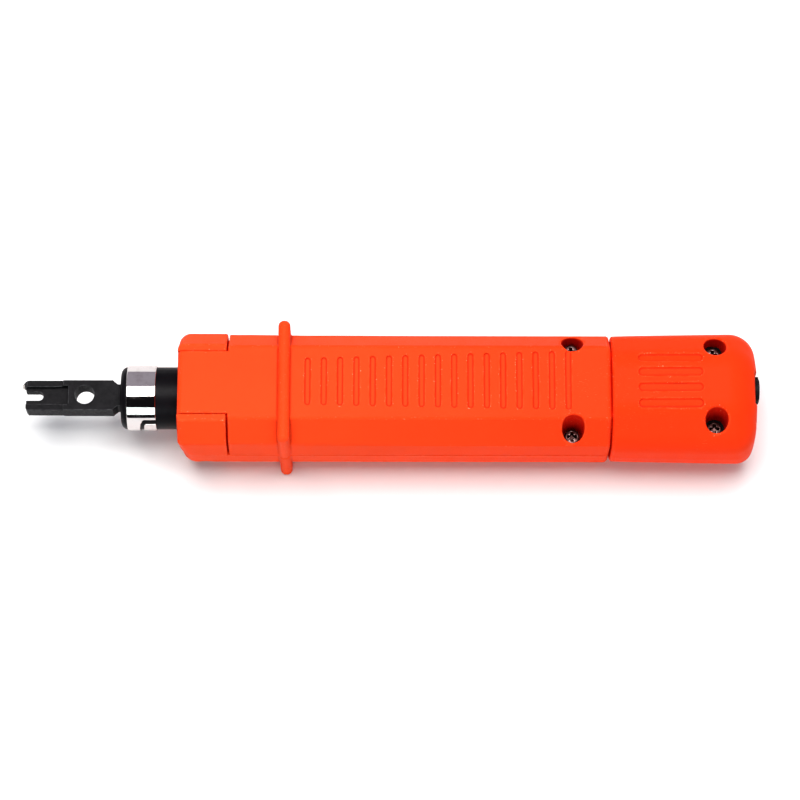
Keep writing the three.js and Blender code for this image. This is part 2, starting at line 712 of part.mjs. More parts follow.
function socketRing() {
  // Open spring band that keeps the detent ball in. A crooked gap runs across it low on the near side.
  const band = cut(
    rodX(RING_OUTER_RADIUS, RING_FRONT, RING_REAR, 0, 0, 48),
    rodX(RING_OUTER_RADIUS - RING_THICKNESS, RING_FRONT - 1, RING_REAR + 1, 0, 0, 48),
  );
  const middle = RING_REAR - RING_GAP_TURN;
  const gap = RING_GAP_HALF_WIDTH;
  const bar = (angle, x0, x1, half) => block(x0, x1, 6, 10, -half, half).rotate([angle, 0, 0]);
  const sweep = [];
  for (let i = 0; i <= 8; i += 1) {
    const angle = RING_GAP_START + ((RING_GAP_END - RING_GAP_START) * i) / 8;
    sweep.push(bar(angle, middle - gap, middle + gap, 0.7));
  }
  return cut(
    band,
    bar(RING_GAP_START, middle - gap, RING_REAR + 1, gap),
    ...sweep,
    bar(RING_GAP_END, RING_FRONT - 1, middle + gap, gap),
  );
}

function striker() {
  return turned(
    [[9.3, 0], [9.3, ROD_RADIUS], [ROD_END - 0.4, ROD_RADIUS], [ROD_END, ROD_RADIUS - 0.4], [ROD_END, 0]],
    28,
  );
}

function detentBall() {
  const geometry = new THREE.SphereGeometry(2.05, 16, 10);
  return toSolid(geometry).translate([-10.35, 5.15, 0]);
}

// ---- Blade ----

function blade() {
  // Type 110 blade: a fork that seats the wire and, on its far rail, a hooked cutting edge.
  const wide = BLADE_HALF_WIDTH;
  const thick = BLADE_HALF_THICKNESS;
  const plan = new THREE.Shape();
  plan.moveTo(BLADE_SHOULDER, wide);
  plan.lineTo(BLADE_SHOULDER + 1.0, 2.8);
  plan.lineTo(PLUNGER_FRONT + 0.4, 2.7);
  plan.lineTo(PLUNGER_FRONT + 0.4, -2.7);
  plan.lineTo(BLADE_SHOULDER + 1.0, -2.8);
  plan.lineTo(BLADE_SHOULDER, -wide);
  plan.lineTo(FORK_END + 0.6, -wide);
  plan.quadraticCurveTo(FORK_END, -wide, FORK_END, -wide + 0.8);
  plan.lineTo(FORK_END, 2.4);
  plan.lineTo(BLADE_TIP + 0.3, 2.4);
  plan.quadraticCurveTo(BLADE_TIP, 2.45, BLADE_TIP, 2.8);
  plan.lineTo(BLADE_TIP + 0.1, 3.2);
  plan.quadraticCurveTo(BLADE_TIP + 0.6, 3.55, BLADE_TIP + 1.8, wide);
  plan.closePath();
  const slot = slotShape(FORK_END - 4, FORK_ROOT, FORK_SLOT_Y, FORK_SLOT_WIDTH);
  const cuts = [
    extrudeZ(slot, -5, 5, 8),
    rodZ(BLADE_HOLE_RADIUS, -5, 5, BLADE_HOLE_X, 0, 32),
  ];
  for (const side of [-1, 1]) {
    const away = side * 5;
    const rail = side * RAIL_HALF_THICKNESS;
    const web = side * WEB_HALF_THICKNESS;
    cuts.push(block(-45, RAIL_STEP, -5, 5, Math.min(rail, away), Math.max(rail, away)));
    cuts.push(block(-45, CHANNEL_END, -2.2, 2.2, Math.min(web, away), Math.max(web, away)));
  }
  const flat = cut(extrudeZ(plan, -thick, thick, 5), ...cuts);
  const neckRound = cut(flat, cut(block(-15.3, -14, -4, 4, -4, 4), rodX(SHANK_RADIUS, -16, -13, 0, 0, 28)));
  const shank = rodX(SHANK_RADIUS, PLUNGER_FRONT - 1, SHANK_END, 0, 0, 28);
  const lugs = extrudeX(
    roundedShape(rectangle(-LUG_HALF_SPAN, LUG_HALF_SPAN, -LUG_HALF_THICKNESS, LUG_HALF_THICKNESS), 0.4),
    SHANK_END - LUG_LENGTH,
    SHANK_END,
  );
  return join(neckRound, shank, lugs);
}

// ---- The assembly ----

const part = new THREE.Group();
part.name = "punch_down_tool";
const SHIFT_X = -(BLADE_TIP + SHANK_END + SPARE_SHIFT) / 2;
const SHIFT_Z = GUARD_HALF_HEIGHT;

function place(name, solid, color, roughness, metalness) {
  const geometry = toGeometry(solid);
  geometry.translate(SHIFT_X, 0, SHIFT_Z);
  const mesh = new THREE.Mesh(geometry, new THREE.MeshStandardMaterial({ color, roughness, metalness }));
  mesh.name = name;
  part.add(mesh);
}

const ORANGE = 0xfe4a22;
const BLACK = 0x232326;
const STEEL = 0xb8babd;
const DARK_STEEL = 0x2d2d2f;

place("bottom_shell", shell(-1), ORANGE, 0.45, 0);
place("top_shell", shell(1), ORANGE, 0.45, 0);
place("nose_block", noseBlock(), ORANGE, 0.45, 0);
place("rear_cap", rearCap(), ORANGE, 0.45, 0);
place("adjuster_hub", adjusterHub(), BLACK, 0.5, 0);
place("spring_seat", springSeat(), BLACK, 0.5, 0);
place("plunger_socket", plungerSocket(), BLACK, 0.4, 0);
place("socket_ring", socketRing(), STEEL, 0.15, 1);
place("striker_rod", striker(), STEEL, 0.3, 1);
place("detent_ball", detentBall(), STEEL, 0.2, 1);
place("hammer", hammer(), STEEL, 0.35, 1);
place("sear_block", searBlock(), DARK_STEEL, 0.4, 1);
place("blade", blade(), DARK_STEEL, 0.5, 1);
place("spare_blade", blade().translate([SPARE_SHIFT, 0, SPARE_HEIGHT]), DARK_STEEL, 0.5, 1);
place("impact_spring", coil(6.5, 1.0, 43.3, 86.7, 9, 2.15, 14, 6), STEEL, 0.35, 1);
place("return_spring", coil(4.4, 0.4, 15.25, 18.75, 4, 0.86, 12, 5), STEEL, 0.35, 1);
const searSpring = coil(1.9, 0.3, 5.25, 8.25, 5, 0.64, 10, 5);
place("sear_spring", searSpring.rotate([0, 90, 0]).translate([27.25, 0, 0]), STEEL, 0.35, 1);

for (const [label, across] of [["near", -1], ["far", 1]]) {
  const housingY = across * HOUSING_SCREW_Y;
  const noseY = across * NOSE_SCREW_Y;
  const capY = CAP_OFFSET + across * CAP_SCREW_Y;
  const housingScrew = screw(SMALL_HEAD_RADIUS, 4.1, 1.6, 11.2, HOUSING_SCREW_X, housingY, 1);
  const noseScrew = screw(2.4, -10.9, 1.8, 15.6, NOSE_SCREW_X, noseY, -1);
  const capScrew = screw(SMALL_HEAD_RADIUS, 7.2, 1.6, 9.1, CAP_SCREW_X, capY, 1);
  place(`housing_screw_${label}`, housingScrew, STEEL, 0.25, 1);
  place(`nose_screw_${label}`, noseScrew, STEEL, 0.25, 1);
  place(`cap_screw_${label}`, capScrew, STEEL, 0.25, 1);
}

export default part;
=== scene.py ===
"""Punch down tool: the looks of each piece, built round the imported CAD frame.

Sizes are in millimetres in the tool's own frame, where x = 0 is just behind the housing's front and
y = z = 0 is the tool's axis. Moulded and machined pieces are shaped from signed distances on a grid, so that
their edges and corners are as round as the real ones. The springs are wires swept round a helix."""

import json
import math

import bpy
import numpy as np
import openvdb
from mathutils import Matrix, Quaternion, Vector

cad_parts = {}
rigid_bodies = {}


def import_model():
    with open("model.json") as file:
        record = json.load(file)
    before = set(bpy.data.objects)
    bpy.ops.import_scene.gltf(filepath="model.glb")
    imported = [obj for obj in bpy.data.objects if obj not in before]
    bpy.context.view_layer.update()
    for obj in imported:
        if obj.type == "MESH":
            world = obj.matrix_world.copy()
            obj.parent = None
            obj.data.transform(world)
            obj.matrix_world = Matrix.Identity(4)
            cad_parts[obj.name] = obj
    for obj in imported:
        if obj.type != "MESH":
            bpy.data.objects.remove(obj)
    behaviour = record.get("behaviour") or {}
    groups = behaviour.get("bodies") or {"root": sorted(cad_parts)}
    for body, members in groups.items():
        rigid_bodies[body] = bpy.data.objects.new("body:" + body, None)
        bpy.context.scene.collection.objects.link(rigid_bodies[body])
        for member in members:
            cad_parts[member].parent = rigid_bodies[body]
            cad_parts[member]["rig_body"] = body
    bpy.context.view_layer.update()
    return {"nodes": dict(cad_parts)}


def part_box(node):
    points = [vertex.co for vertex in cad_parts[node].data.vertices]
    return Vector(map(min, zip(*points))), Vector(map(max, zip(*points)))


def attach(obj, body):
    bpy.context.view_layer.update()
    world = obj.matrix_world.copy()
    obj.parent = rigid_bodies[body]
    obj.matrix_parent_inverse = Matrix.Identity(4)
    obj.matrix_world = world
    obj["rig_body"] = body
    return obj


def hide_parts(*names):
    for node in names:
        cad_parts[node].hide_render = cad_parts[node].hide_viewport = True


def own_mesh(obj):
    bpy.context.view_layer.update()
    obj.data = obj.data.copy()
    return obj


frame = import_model()

MM = 0.001
CHEEK_LEAD = 0.7
FRONT_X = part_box("nose_block")[0].x + CHEEK_LEAD * MM
SOCKET_LOW, SOCKET_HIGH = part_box("plunger_socket")
AXIS_Z = (SOCKET_LOW.z + SOCKET_HIGH.z) / 2
ORIGIN = np.array([FRONT_X, 0.0, AXIS_Z])


def local(node):
    """A CAD node's lowest and highest corner in the tool's own frame, in millimetres."""
    low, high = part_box(node)
    return (np.array(low) - ORIGIN) / MM, (np.array(high) - ORIGIN) / MM


# ---- Camera, light and floor ----

TARGET = Vector((FRONT_X + 54.25 * MM, -0.00034, AXIS_Z))
ELEVATION = math.radians(73.0)
DISTANCE = 0.85
FIELD = 0.200
ROLL = math.radians(0.10)
DARK_EDGE = math.radians(12.0)


def add_camera():
    data = bpy.data.cameras.new("camera")
    data.sensor_width = 36.0
    data.lens = data.sensor_width * DISTANCE / FIELD
    data.clip_start = 0.05
    data.clip_end = 20.0
    camera = bpy.data.objects.new("camera", data)
    back = Vector((0.0, -math.cos(ELEVATION), math.sin(ELEVATION)))
    camera.location = TARGET + back * DISTANCE
    camera.rotation_mode = "QUATERNION"
    roll = Quaternion((0.0, 0.0, 1.0), ROLL)
    camera.rotation_quaternion = (-back).to_track_quat("-Z", "Y") @ roll
    bpy.context.scene.collection.objects.link(camera)
    bpy.context.scene.camera = camera


def add_area(name, place, size, power, colour=(1.0, 1.0, 1.0)):
    data = bpy.data.lights.new(name, "AREA")
    data.shape = "RECTANGLE"
    data.size, data.size_y = size
    data.energy = power
    data.color = colour
    lamp = bpy.data.objects.new(name, data)
    lamp.location = place
    aim = Vector((0.0, 0.0, AXIS_Z)) - Vector(place)
    lamp.rotation_mode = "QUATERNION"
    lamp.rotation_quaternion = aim.to_track_quat("-Z", "Y")
    bpy.context.scene.collection.objects.link(lamp)


def add_world():
    """Pale walls behind the tool and a dark side where the camera stands, which shows in polished metal."""
    world = bpy.data.worlds.new("studio")
    bpy.context.scene.world = world
    world.use_nodes = True
    nodes, links = world.node_tree.nodes, world.node_tree.links
    nodes.clear()
    where = nodes.new("ShaderNodeTexCoord")
    dot = nodes.new("ShaderNodeVectorMath")
    dot.operation = "DOT_PRODUCT"
    dot.inputs[1].default_value = (0.0, math.cos(DARK_EDGE), math.sin(DARK_EDGE))
    ramp = nodes.new("ShaderNodeValToRGB")
    ramp.color_ramp.elements[0].position = 0.02
    ramp.color_ramp.elements[0].color = (0.012, 0.011, 0.013, 1.0)
    ramp.color_ramp.elements[1].position = 0.10
    ramp.color_ramp.elements[1].color = (0.40, 0.38, 0.43, 1.0)
    shade = nodes.new("ShaderNodeBackground")
    shade.inputs["Strength"].default_value = 1.0
    out = nodes.new("ShaderNodeOutputWorld")
    links.new(where.outputs["Generated"], dot.inputs[0])
    links.new(dot.outputs["Value"], ramp.inputs["Fac"])
    links.new(ramp.outputs["Color"], shade.inputs["Color"])
    links.new(shade.outputs["Background"], out.inputs["Surface"])


def add_floor():
    mesh = bpy.data.meshes.new("floor")
    half = 4.0
    corners = [(-half, -half, 0.0), (half, -half, 0.0), (half, half, 0.0), (-half, half, 0.0)]
    mesh.from_pydata(corners, [], [(0, 1, 2, 3)])
    floor = bpy.data.objects.new("floor", mesh)
    bpy.context.scene.collection.objects.link(floor)
    paper = bpy.data.materials.new("floor_paper")
    paper.use_nodes = True
    shader = paper.node_tree.nodes["Principled BSDF"]
    shader.inputs["Base Color"].default_value = (0.92, 0.92, 0.92, 1.0)
    shader.inputs["Roughness"].default_value = 0.7
    mesh.materials.append(paper)


add_camera()
add_world()
add_area("key_soft", (-0.04, 0.165, 1.07), (0.8, 0.64), 12.5, (1.0, 0.99, 0.97))
add_area("fill_soft", (0.0, -0.923, 0.479), (1.3, 0.5), 4.8, (0.88, 0.99, 1.0))
add_floor()
bpy.context.scene.view_settings.view_transform = "Standard"
bpy.context.scene.view_settings.look = "Medium High Contrast"


# ---- Signed distances ----


class Grid:
    """Points on a regular grid, in millimetres. x, y and z broadcast against each other."""

    def __init__(self, low, high, step):
        self.low = np.array(low, np.float32)
        self.step = step
        counts = [int(math.ceil((b - a) / step)) + 1 for a, b in zip(low, high)]
        axes = [a + step * np.arange(n, dtype=np.float32) for a, n in zip(low, counts)]
        self.axes = axes
        self.x = axes[0][:, None, None]
        self.y = axes[1][None, :, None]
        self.z = axes[2][None, None, :]

    def window(self, low, high):
        """The slices and coordinates of the part of the grid inside a box."""
        cut = []
        for axis, a, b in zip(self.axes, low, high):
            first = int(np.searchsorted(axis, a))
            last = int(np.searchsorted(axis, b))
            cut.append(slice(first, max(last, first)))
        return tuple(cut), self.x[cut[0]], self.y[:, cut[1]], self.z[:, :, cut[2]]


def length(*parts):
    return np.sqrt(sum(p * p for p in parts))


def union(a, b, blend=0.0):
    if blend <= 0:
        return np.minimum(a, b)
    share = np.clip(blend - np.abs(a - b), 0, None) / blend
    return np.minimum(a, b) - share * share * blend * 0.25


def overlap(a, b, blend=0.0):
    return -union(-a, -b, blend)


def minus(a, b, blend=0.0):
    return -union(-a, b, blend)


def round_meet(a, b, radius):
    """The overlap of two bodies, with a true fillet of the given radius where their surfaces meet."""
    a, b = a + radius, b + radius
    return np.minimum(np.maximum(a, b), 0) + length(np.maximum(a, 0), np.maximum(b, 0)) - radius


def span(u, low, high):
    return np.maximum(low - u, u - high)


def rectangle(u, v, half_u, half_v, radius):
    du, dv = np.abs(u) - half_u + radius, np.abs(v) - half_v + radius
    return length(np.maximum(du, 0), np.maximum(dv, 0)) + np.minimum(np.maximum(du, dv), 0) - radius


def stadium(u, v, half_length, radius):
    """A slot's outline, lying along u."""
    return length(np.maximum(np.abs(u) - half_length + radius, 0), v) - radius


def polygon(u, v, corners, radius=0.0):
    """A closed outline. With a radius it has to be convex: it keeps its size and its corners turn round."""
    corners = np.array(corners, float)
    if radius > 0:
        corners = inset(corners, radius)
    shape = np.broadcast(u, v).shape
    u, v = np.broadcast_to(u, shape), np.broadcast_to(v, shape)
    nearest = np.full(shape, 1e9, np.float32)
    inside = np.zeros(shape, bool)
    for (u0, v0), (u1, v1) in zip(corners, np.roll(corners, -1, 0)):
        eu, ev = u1 - u0, v1 - v0
        along = np.clip(((u - u0) * eu + (v - v0) * ev) / (eu * eu + ev * ev), 0, 1)
        nearest = np.minimum(nearest, length(u - u0 - eu * along, v - v0 - ev * along))
        crosses = (v0 > v) != (v1 > v)
        if ev != 0:
            inside ^= crosses & (u < u0 + (v - v0) * eu / ev)
    return np.where(inside, -nearest, nearest) - radius


def inset(corners, distance):
    """A convex outline, given anticlockwise, with each side moved in."""
    moved = []
    count = len(corners)
    for i in range(count):
        before, here, after = corners[i - 1], corners[i], corners[(i + 1) % count]
        lines = []
        for a, b in ((before, here), (here, after)):
            along = (b - a) / np.linalg.norm(b - a)
            inward = np.array([-along[1], along[0]])
            lines.append((inward, inward @ a + distance))
        matrix = np.array([lines[0][0], lines[1][0]])
        moved.append(np.linalg.solve(matrix, np.array([lines[0][1], lines[1][1]])))
    return np.array(moved)


def polyline(u, v, points):
    nearest = np.float32(1e9)
    for (u0, v0), (u1, v1) in zip(points, points[1:]):
        eu, ev = u1 - u0, v1 - v0
        along = np.clip(((u - u0) * eu + (v - v0) * ev) / (eu * eu + ev * ev), 0, 1)
        nearest = np.minimum(nearest, length(u - u0 - eu * along, v - v0 - ev * along))
    return nearest


def carve(field, grid, low, high, tool, blend):
    """Takes a tool away inside a box of the grid, in place."""
    cut, x, y, z = grid.window(low, high)
    field[cut] = minus(field[cut], tool(x, y, z), blend)


def add(field, grid, low, high, tool, blend):
    cut, x, y, z = grid.window(low, high)
    field[cut] = union(field[cut], tool(x, y, z), blend)


def sample(field, points):
    """The field's value at points given in grid steps."""
    base = np.clip(np.floor(points).astype(int), 0, np.array(field.shape) - 2)
    share = points - base
    total = 0.0
    for i in (0, 1):
        for j in (0, 1):
            for k in (0, 1):
                weight = 1.0
                for axis, corner in enumerate((i, j, k)):
                    weight = weight * (share[:, axis] if corner else 1 - share[:, axis])
                total = total + weight * field[base[:, 0] + i, base[:, 1] + j, base[:, 2] + k]
    return total


def surface(name, grid, field):
    """Meshes the zero level of a field. Each vertex keeps the surface's own normal and its curvature."""
    step = grid.step
    reach = 4 * step
    field = np.clip(np.ascontiguousarray(field, np.float32), -reach, reach)
    level = openvdb.FloatGrid(reach)
    level.copyFromArray(field)
    points, _, quads = level.convertToPolygons(isovalue=0.0, adaptivity=0.0)
    points = points.astype(np.float64)
    for _ in range(3):
        slope = gradient(field, points, 0.5)
        size = np.maximum(np.linalg.norm(slope, axis=1, keepdims=True), 1e-6)
        points -= np.clip(sample(field, points)[:, None] / step / size, -0.4, 0.4) * slope / size
    normals = gradient(field, points, 0.8)
    normals /= np.maximum(np.linalg.norm(normals, axis=1, keepdims=True), 1e-6)
    bend = curvature(field, points, 2.0) / (2.0 * step) ** 2
    a, b, c = (points[quads[:, i]] for i in (0, 1, 2))
    facing = np.einsum("ij,ij->i", np.cross(b - a, c - a), normals[quads[:, 0]])
    if facing.sum() < 0:
        quads = quads[:, ::-1]
    place = (points * step + grid.low) * MM + ORIGIN
    mesh = bpy.data.meshes.new(name)
    mesh.vertices.add(len(place))
    mesh.vertices.foreach_set("co", place.astype(np.float32).ravel())
    mesh.loops.add(quads.size)
    mesh.loops.foreach_set("vertex_index", quads.astype(np.int32).ravel())
    mesh.polygons.add(len(quads))
    mesh.polygons.foreach_set("loop_start", np.arange(0, quads.size, 4, dtype=np.int32))
    mesh.polygons.foreach_set("use_smooth", np.ones(len(quads), bool))
    mesh.update(calc_edges=True)
    mesh.validate()
    mesh.normals_split_custom_set_from_vertices(normals.astype(np.float32).tolist())
    worn = mesh.attributes.new("bend", "FLOAT", "POINT")
    worn.data.foreach_set("value", np.clip(bend, -8, 8).astype(np.float32))
    piece = bpy.data.objects.new(name, mesh)
    bpy.context.scene.collection.objects.link(piece)
    return piece


def gradient(field, points, reach):
    slope = np.zeros_like(points)
    for axis in range(3):
        shift = np.zeros(3)
        shift[axis] = reach
        slope[:, axis] = (sample(field, points + shift) - sample(field, points - shift)) / (2 * reach)
    return slope


def curvature(field, points, reach):
    total = -6 * sample(field, points)
    for axis in range(3):
        shift = np.zeros(3)
        shift[axis] = reach
        total = total + sample(field, points + shift) + sample(field, points - shift)
    return total


def finished(piece, node, material):
    """Puts a piece in place of a CAD node, on the same body, with the given material."""
    piece.data.materials.append(material)
    body = frame["nodes"][node]["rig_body"]
    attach(piece, body)
    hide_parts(node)
    return piece


# ---- Materials ----


class Look:
    """A node material. Its fields are set up step by step and joined to one Principled shader."""

    def __init__(self, name, colour, roughness, metallic=0.0):
        self.material = bpy.data.materials.new(name)
        self.material.use_nodes = True
        self.material.diffuse_color = (*colour, 1.0)
        self.nodes = self.material.node_tree.nodes
        self.links = self.material.node_tree.links
        self.shader = self.nodes["Principled BSDF"]
        self.shader.inputs["Base Color"].default_value = (*colour, 1.0)
        self.shader.inputs["Roughness"].default_value = roughness
        self.shader.inputs["Metallic"].default_value = metallic
        self.where = self.nodes.new("ShaderNodeTexCoord").outputs["Object"]
        self.bump = None

    def link(self, output, target):
        self.links.new(output, target)

    def noise(self, per_mm, detail=4.0, stretch=None, turn=None, roughness=0.55):
        """Noise with a given number of features per millimetre. stretch draws it out along x, y or z."""
        node = self.nodes.new("ShaderNodeTexNoise")
        node.inputs["Scale"].default_value = 1000.0 * per_mm
        node.inputs["Detail"].default_value = detail
        node.inputs["Roughness"].default_value = roughness
        source = self.where
        if stretch or turn:
            mapping = self.nodes.new("ShaderNodeMapping")
            mapping.inputs["Scale"].default_value = stretch or (1, 1, 1)
            mapping.inputs["Rotation"].default_value = turn or (0, 0, 0)
            self.link(source, mapping.inputs["Vector"])
            source = mapping.outputs["Vector"]
        self.link(source, node.inputs["Vector"])
        return node.outputs["Fac"]

    def ramp(self, value, low, high, out_low=0.0, out_high=1.0):
        node = self.nodes.new("ShaderNodeMapRange")
        node.interpolation_type = "SMOOTHSTEP"
        node.inputs["From Min"].default_value = low
        node.inputs["From Max"].default_value = high
        node.inputs["To Min"].default_value = out_low
        node.inputs["To Max"].default_value = out_high
        self.link(value, node.inputs["Value"])
        return node.outputs["Result"]

    def maths(self, operation, a, b):
        node = self.nodes.new("ShaderNodeMath")
        node.operation = operation
        for socket, value in zip(node.inputs, (a, b)):
            if isinstance(value, (int, float)):
                socket.default_value = value
            else:
                self.link(value, socket)
        return node.outputs["Value"]

    def times(self, a, b):
        return self.maths("MULTIPLY", a, b)

    def attribute(self, name):
        node = self.nodes.new("ShaderNodeAttribute")
        node.attribute_name = name
        return node.outputs["Fac"]

    def position(self):
        """Where a point is along x, y and z, in metres in the object's frame."""
        node = self.nodes.new("ShaderNodeSeparateXYZ")
        self.link(self.where, node.inputs["Vector"])
        return node.outputs

    def mix(self, mask, a, b):
        """Colour a where the mask is 0 and b where it is 1. Each is a colour or an output."""
        node = self.nodes.new("ShaderNodeMix")
        node.data_type = "RGBA"
        self.link(mask, node.inputs["Factor"])
        for socket, value in ((node.inputs[6], a), (node.inputs[7], b)):
            if isinstance(value, tuple):
                socket.default_value = (*value, 1.0)
            else:
                self.link(value, socket)
        return node.outputs[2]

    def colours(self, output):
        self.link(output, self.shader.inputs["Base Color"])

    def rough(self, output):
        self.link(output, self.shader.inputs["Roughness"])

    def add_bump(self, height, depth_mm, strength=1.0):
        node = self.nodes.new("ShaderNodeBump")
        node.inputs["Strength"].default_value = strength
        node.inputs["Distance"].default_value = depth_mm * MM
        self.link(height, node.inputs["Height"])
        if self.bump is not None:
            self.link(self.bump, node.inputs["Normal"])
        self.bump = node.outputs["Normal"]
        self.link(self.bump, self.shader.inputs["Normal"])


def shade(colour, factor):
    return tuple(min(1.0, c * factor) for c in colour)


def orange_plastic(name, colour, scuff_from=None, scuff_to=None):
    """Satin moulded plastic: a fine spark-eroded grain, faint flow marks, rubbed edges and light scuffs, with
    painted shade that darkens the colour towards the rear, in creases and in wells and joints.
    """
    look = Look(name, colour, 0.42)
    flow = look.ramp(look.noise(0.035, 3.0), 0.3, 0.7)
    base = look.mix(flow, shade(colour, 0.965), shade(colour, 1.03))
    # Painted shade: the base colour turns darker and deeper red towards the rear.
    rear_shade = look.ramp(look.position()["X"], FRONT_X + 0.02, FRONT_X + 0.11, 0.0, 0.75)
    base = look.mix(rear_shade, base, (colour[0], colour[1] * 0.72, colour[2] * 0.6))
    speckle = look.ramp(look.noise(1.6, 3.0), 0.62, 0.80, 0.0, 0.35)
    base = look.mix(speckle, base, shade(colour, 0.90))
    bend = look.attribute("bend")
    edges = look.ramp(bend, 0.5, 2.4, 0.0, 0.30)
    rubbed = look.times(edges, look.ramp(look.noise(0.5, 5.0), 0.35, 0.65))
    base = look.mix(rubbed, base, (1.0, 0.14, 0.05))
    # Painted shade: concave creases and the edges of the grooves turn a darker red.
    crease_shade = look.ramp(bend, -2.6, -0.4, 0.75, 0.0)
    base = look.mix(crease_shade, base, (0.52, 0.026, 0.008))
    # Painted shade: points more than 0.5 mm under the outer faces, in screw wells and joint gaps, turn a
    # darker red.
    deep = look.attribute("deep")
    base = look.mix(look.ramp(deep, 0.0, 0.12), base, (0.70, 0.018, 0.005))
    base = look.mix(look.ramp(deep, 0.2, 1.0), base, (0.50, 0.012, 0.004))
    dots = look.ramp(look.noise(2.6, 2.0), 0.66, 0.72)
    specks = look.times(dots, look.ramp(bend, 0.3, 1.2, 0.0, 0.7))
    base = look.mix(specks, base, (1.0, 0.42, 0.26))
    scratches = look.ramp(look.noise(1.1, 3.0, (1.0, 9.0, 3.0), (0.0, 0.0, 0.9)), 0.66, 0.74)
    if scuff_from is not None:
        x = look.position()["X"]
        rise = look.ramp(x, scuff_from - 0.006, scuff_from, 0.0, 1.0)
        fall = look.ramp(x, scuff_to, scuff_to + 0.010, 1.0, 0.0)
        patch = look.ramp(look.noise(0.12, 4.0), 0.42, 0.62)
        zone = look.times(look.times(rise, fall), patch)
        marks = look.times(scratches, zone)
        base = look.mix(look.times(marks, 0.55), base, (1.0, 0.33, 0.18))
    look.colours(base)
    grain = look.noise(2.4, 4.0)
    satin = look.ramp(grain, 0.25, 0.75, 0.36, 0.47)
    look.rough(look.maths("ADD", satin, look.times(scratches, 0.12)))
    look.add_bump(grain, 0.010, 0.55)
    look.add_bump(look.noise(0.25, 3.0), 0.035, 0.35)
    look.add_bump(scratches, -0.006, 0.4)
    look.shader.inputs["Specular IOR Level"].default_value = 0.022
    look.shader.inputs["Subsurface Weight"].default_value = 0.08
    look.shader.inputs["Subsurface Radius"].default_value = (0.0010, 0.0003, 0.0001)
    return look.material


def black_plastic():
    look = Look("black_plastic", (0.012, 0.012, 0.014), 0.38)
    cloud = look.ramp(look.noise(0.15, 5.0), 0.35, 0.7)
    base = look.mix(cloud, (0.004, 0.0035, 0.005), (0.009, 0.008, 0.010))
    rubbed = look.ramp(look.attribute("bend"), 0.6, 3.0, 0.0, 0.4)
    base = look.mix(rubbed, base, (0.030, 0.029, 0.033))
    dust = look.ramp(look.noise(2.2, 2.0), 0.72, 0.80, 0.0, 0.5)
    look.colours(look.mix(dust, base, (0.03, 0.03, 0.032)))
    look.shader.inputs["Specular IOR Level"].default_value = 0.08
    rings = look.noise(3.0, 2.0, (7.0, 0.4, 0.4))
    look.rough(look.ramp(rings, 0.3, 0.7, 0.30, 0.46))
    look.add_bump(rings, 0.006, 0.5)
    look.add_bump(look.noise(0.8, 4.0), 0.010, 0.4)
    return look.material


def chrome_band():
    """Polished plated strip: nearly a mirror, with rolling lines round it and fine handling scratches."""
    look = Look("chrome_band", (0.64, 0.60, 0.59), 0.07, 1.0)
    stain = look.ramp(look.noise(0.3, 5.0), 0.45, 0.75)
    look.colours(look.mix(stain, (0.67, 0.63, 0.62), (0.54, 0.49, 0.48)))
    lines = look.noise(4.0, 3.0, (6.0, 0.35, 0.35))
    scratches = look.ramp(look.noise(1.6, 3.0, (1.0, 7.0, 7.0), (0.5, 0.0, 0.4)), 0.64, 0.72)
    polish = look.ramp(stain, 0.0, 1.0, 0.04, 0.11)
    look.rough(look.maths("ADD", polish, look.times(scratches, 0.14)))
    look.add_bump(lines, 0.002, 0.35)
    look.add_bump(look.noise(0.35, 2.0), 0.03, 0.35)
    look.add_bump(scratches, -0.003, 0.5)
    return look.material


def black_oxide():
    """Blackened tool steel, with its edges rubbed grey and the cutting edge ground bright."""
    look = Look("black_oxide", (0.012, 0.012, 0.013), 0.5, 0.0)
    look.shader.inputs["Specular IOR Level"].default_value = 0.08
    cloud = look.ramp(look.noise(0.4, 6.0), 0.3, 0.75)
    base = look.mix(cloud, (0.007, 0.0066, 0.008), (0.014, 0.013, 0.015))
    bend = look.attribute("bend")
    chips = look.ramp(look.noise(0.7, 3.0), 0.35, 0.65, 0.3, 1.0)
    rubbed = look.times(look.ramp(bend, 1.5, 5.0, 0.0, 0.6), chips)
    base = look.mix(rubbed, base, (0.13, 0.13, 0.135))
    ground = look.attribute("ground")
    look.colours(look.mix(ground, base, (0.60, 0.55, 0.52)))
    look.link(look.times(ground, 0.9), look.shader.inputs["Metallic"])
    grain = look.noise(2.5, 4.0)
    dull = look.ramp(grain, 0.3, 0.7, 0.40, 0.56)
    look.rough(look.maths("SUBTRACT", dull, look.times(ground, 0.2)))
    look.add_bump(grain, 0.008, 0.5)
    look.add_bump(look.noise(1.0, 2.0, (0.5, 6.0, 1.0)), 0.006, 0.4)
    return look.material


def screw_plate():
    """Dull dark plating, tinted red as a painted reflection of the orange wells. The rim of the head and
    round the recess are brighter: partly worn plating, partly painted glints.
    """
    look = Look("screw_plate", (0.05, 0.04, 0.04), 0.28, 1.0)
    cloud = look.ramp(look.noise(0.8, 4.0), 0.35, 0.65)
    # Painted reflection: the dark plating is tinted red, as the orange well round each head would mirror in
    # it.
    base = look.mix(cloud, (0.075, 0.038, 0.036), (0.14, 0.080, 0.078))
    # Bright patches on the rim and round the recess: partly worn plating, partly painted glints.
    edges = look.ramp(look.attribute("bend"), 1.5, 4.0)
    worn = look.times(edges, look.ramp(look.noise(1.3, 2.0), 0.46, 0.60))
    look.colours(look.mix(worn, base, (0.36, 0.28, 0.27)))
    look.rough(look.ramp(cloud, 0.0, 1.0, 0.50, 0.34))
    look.add_bump(look.noise(3.0, 3.0), 0.004, 0.5)
    return look.material


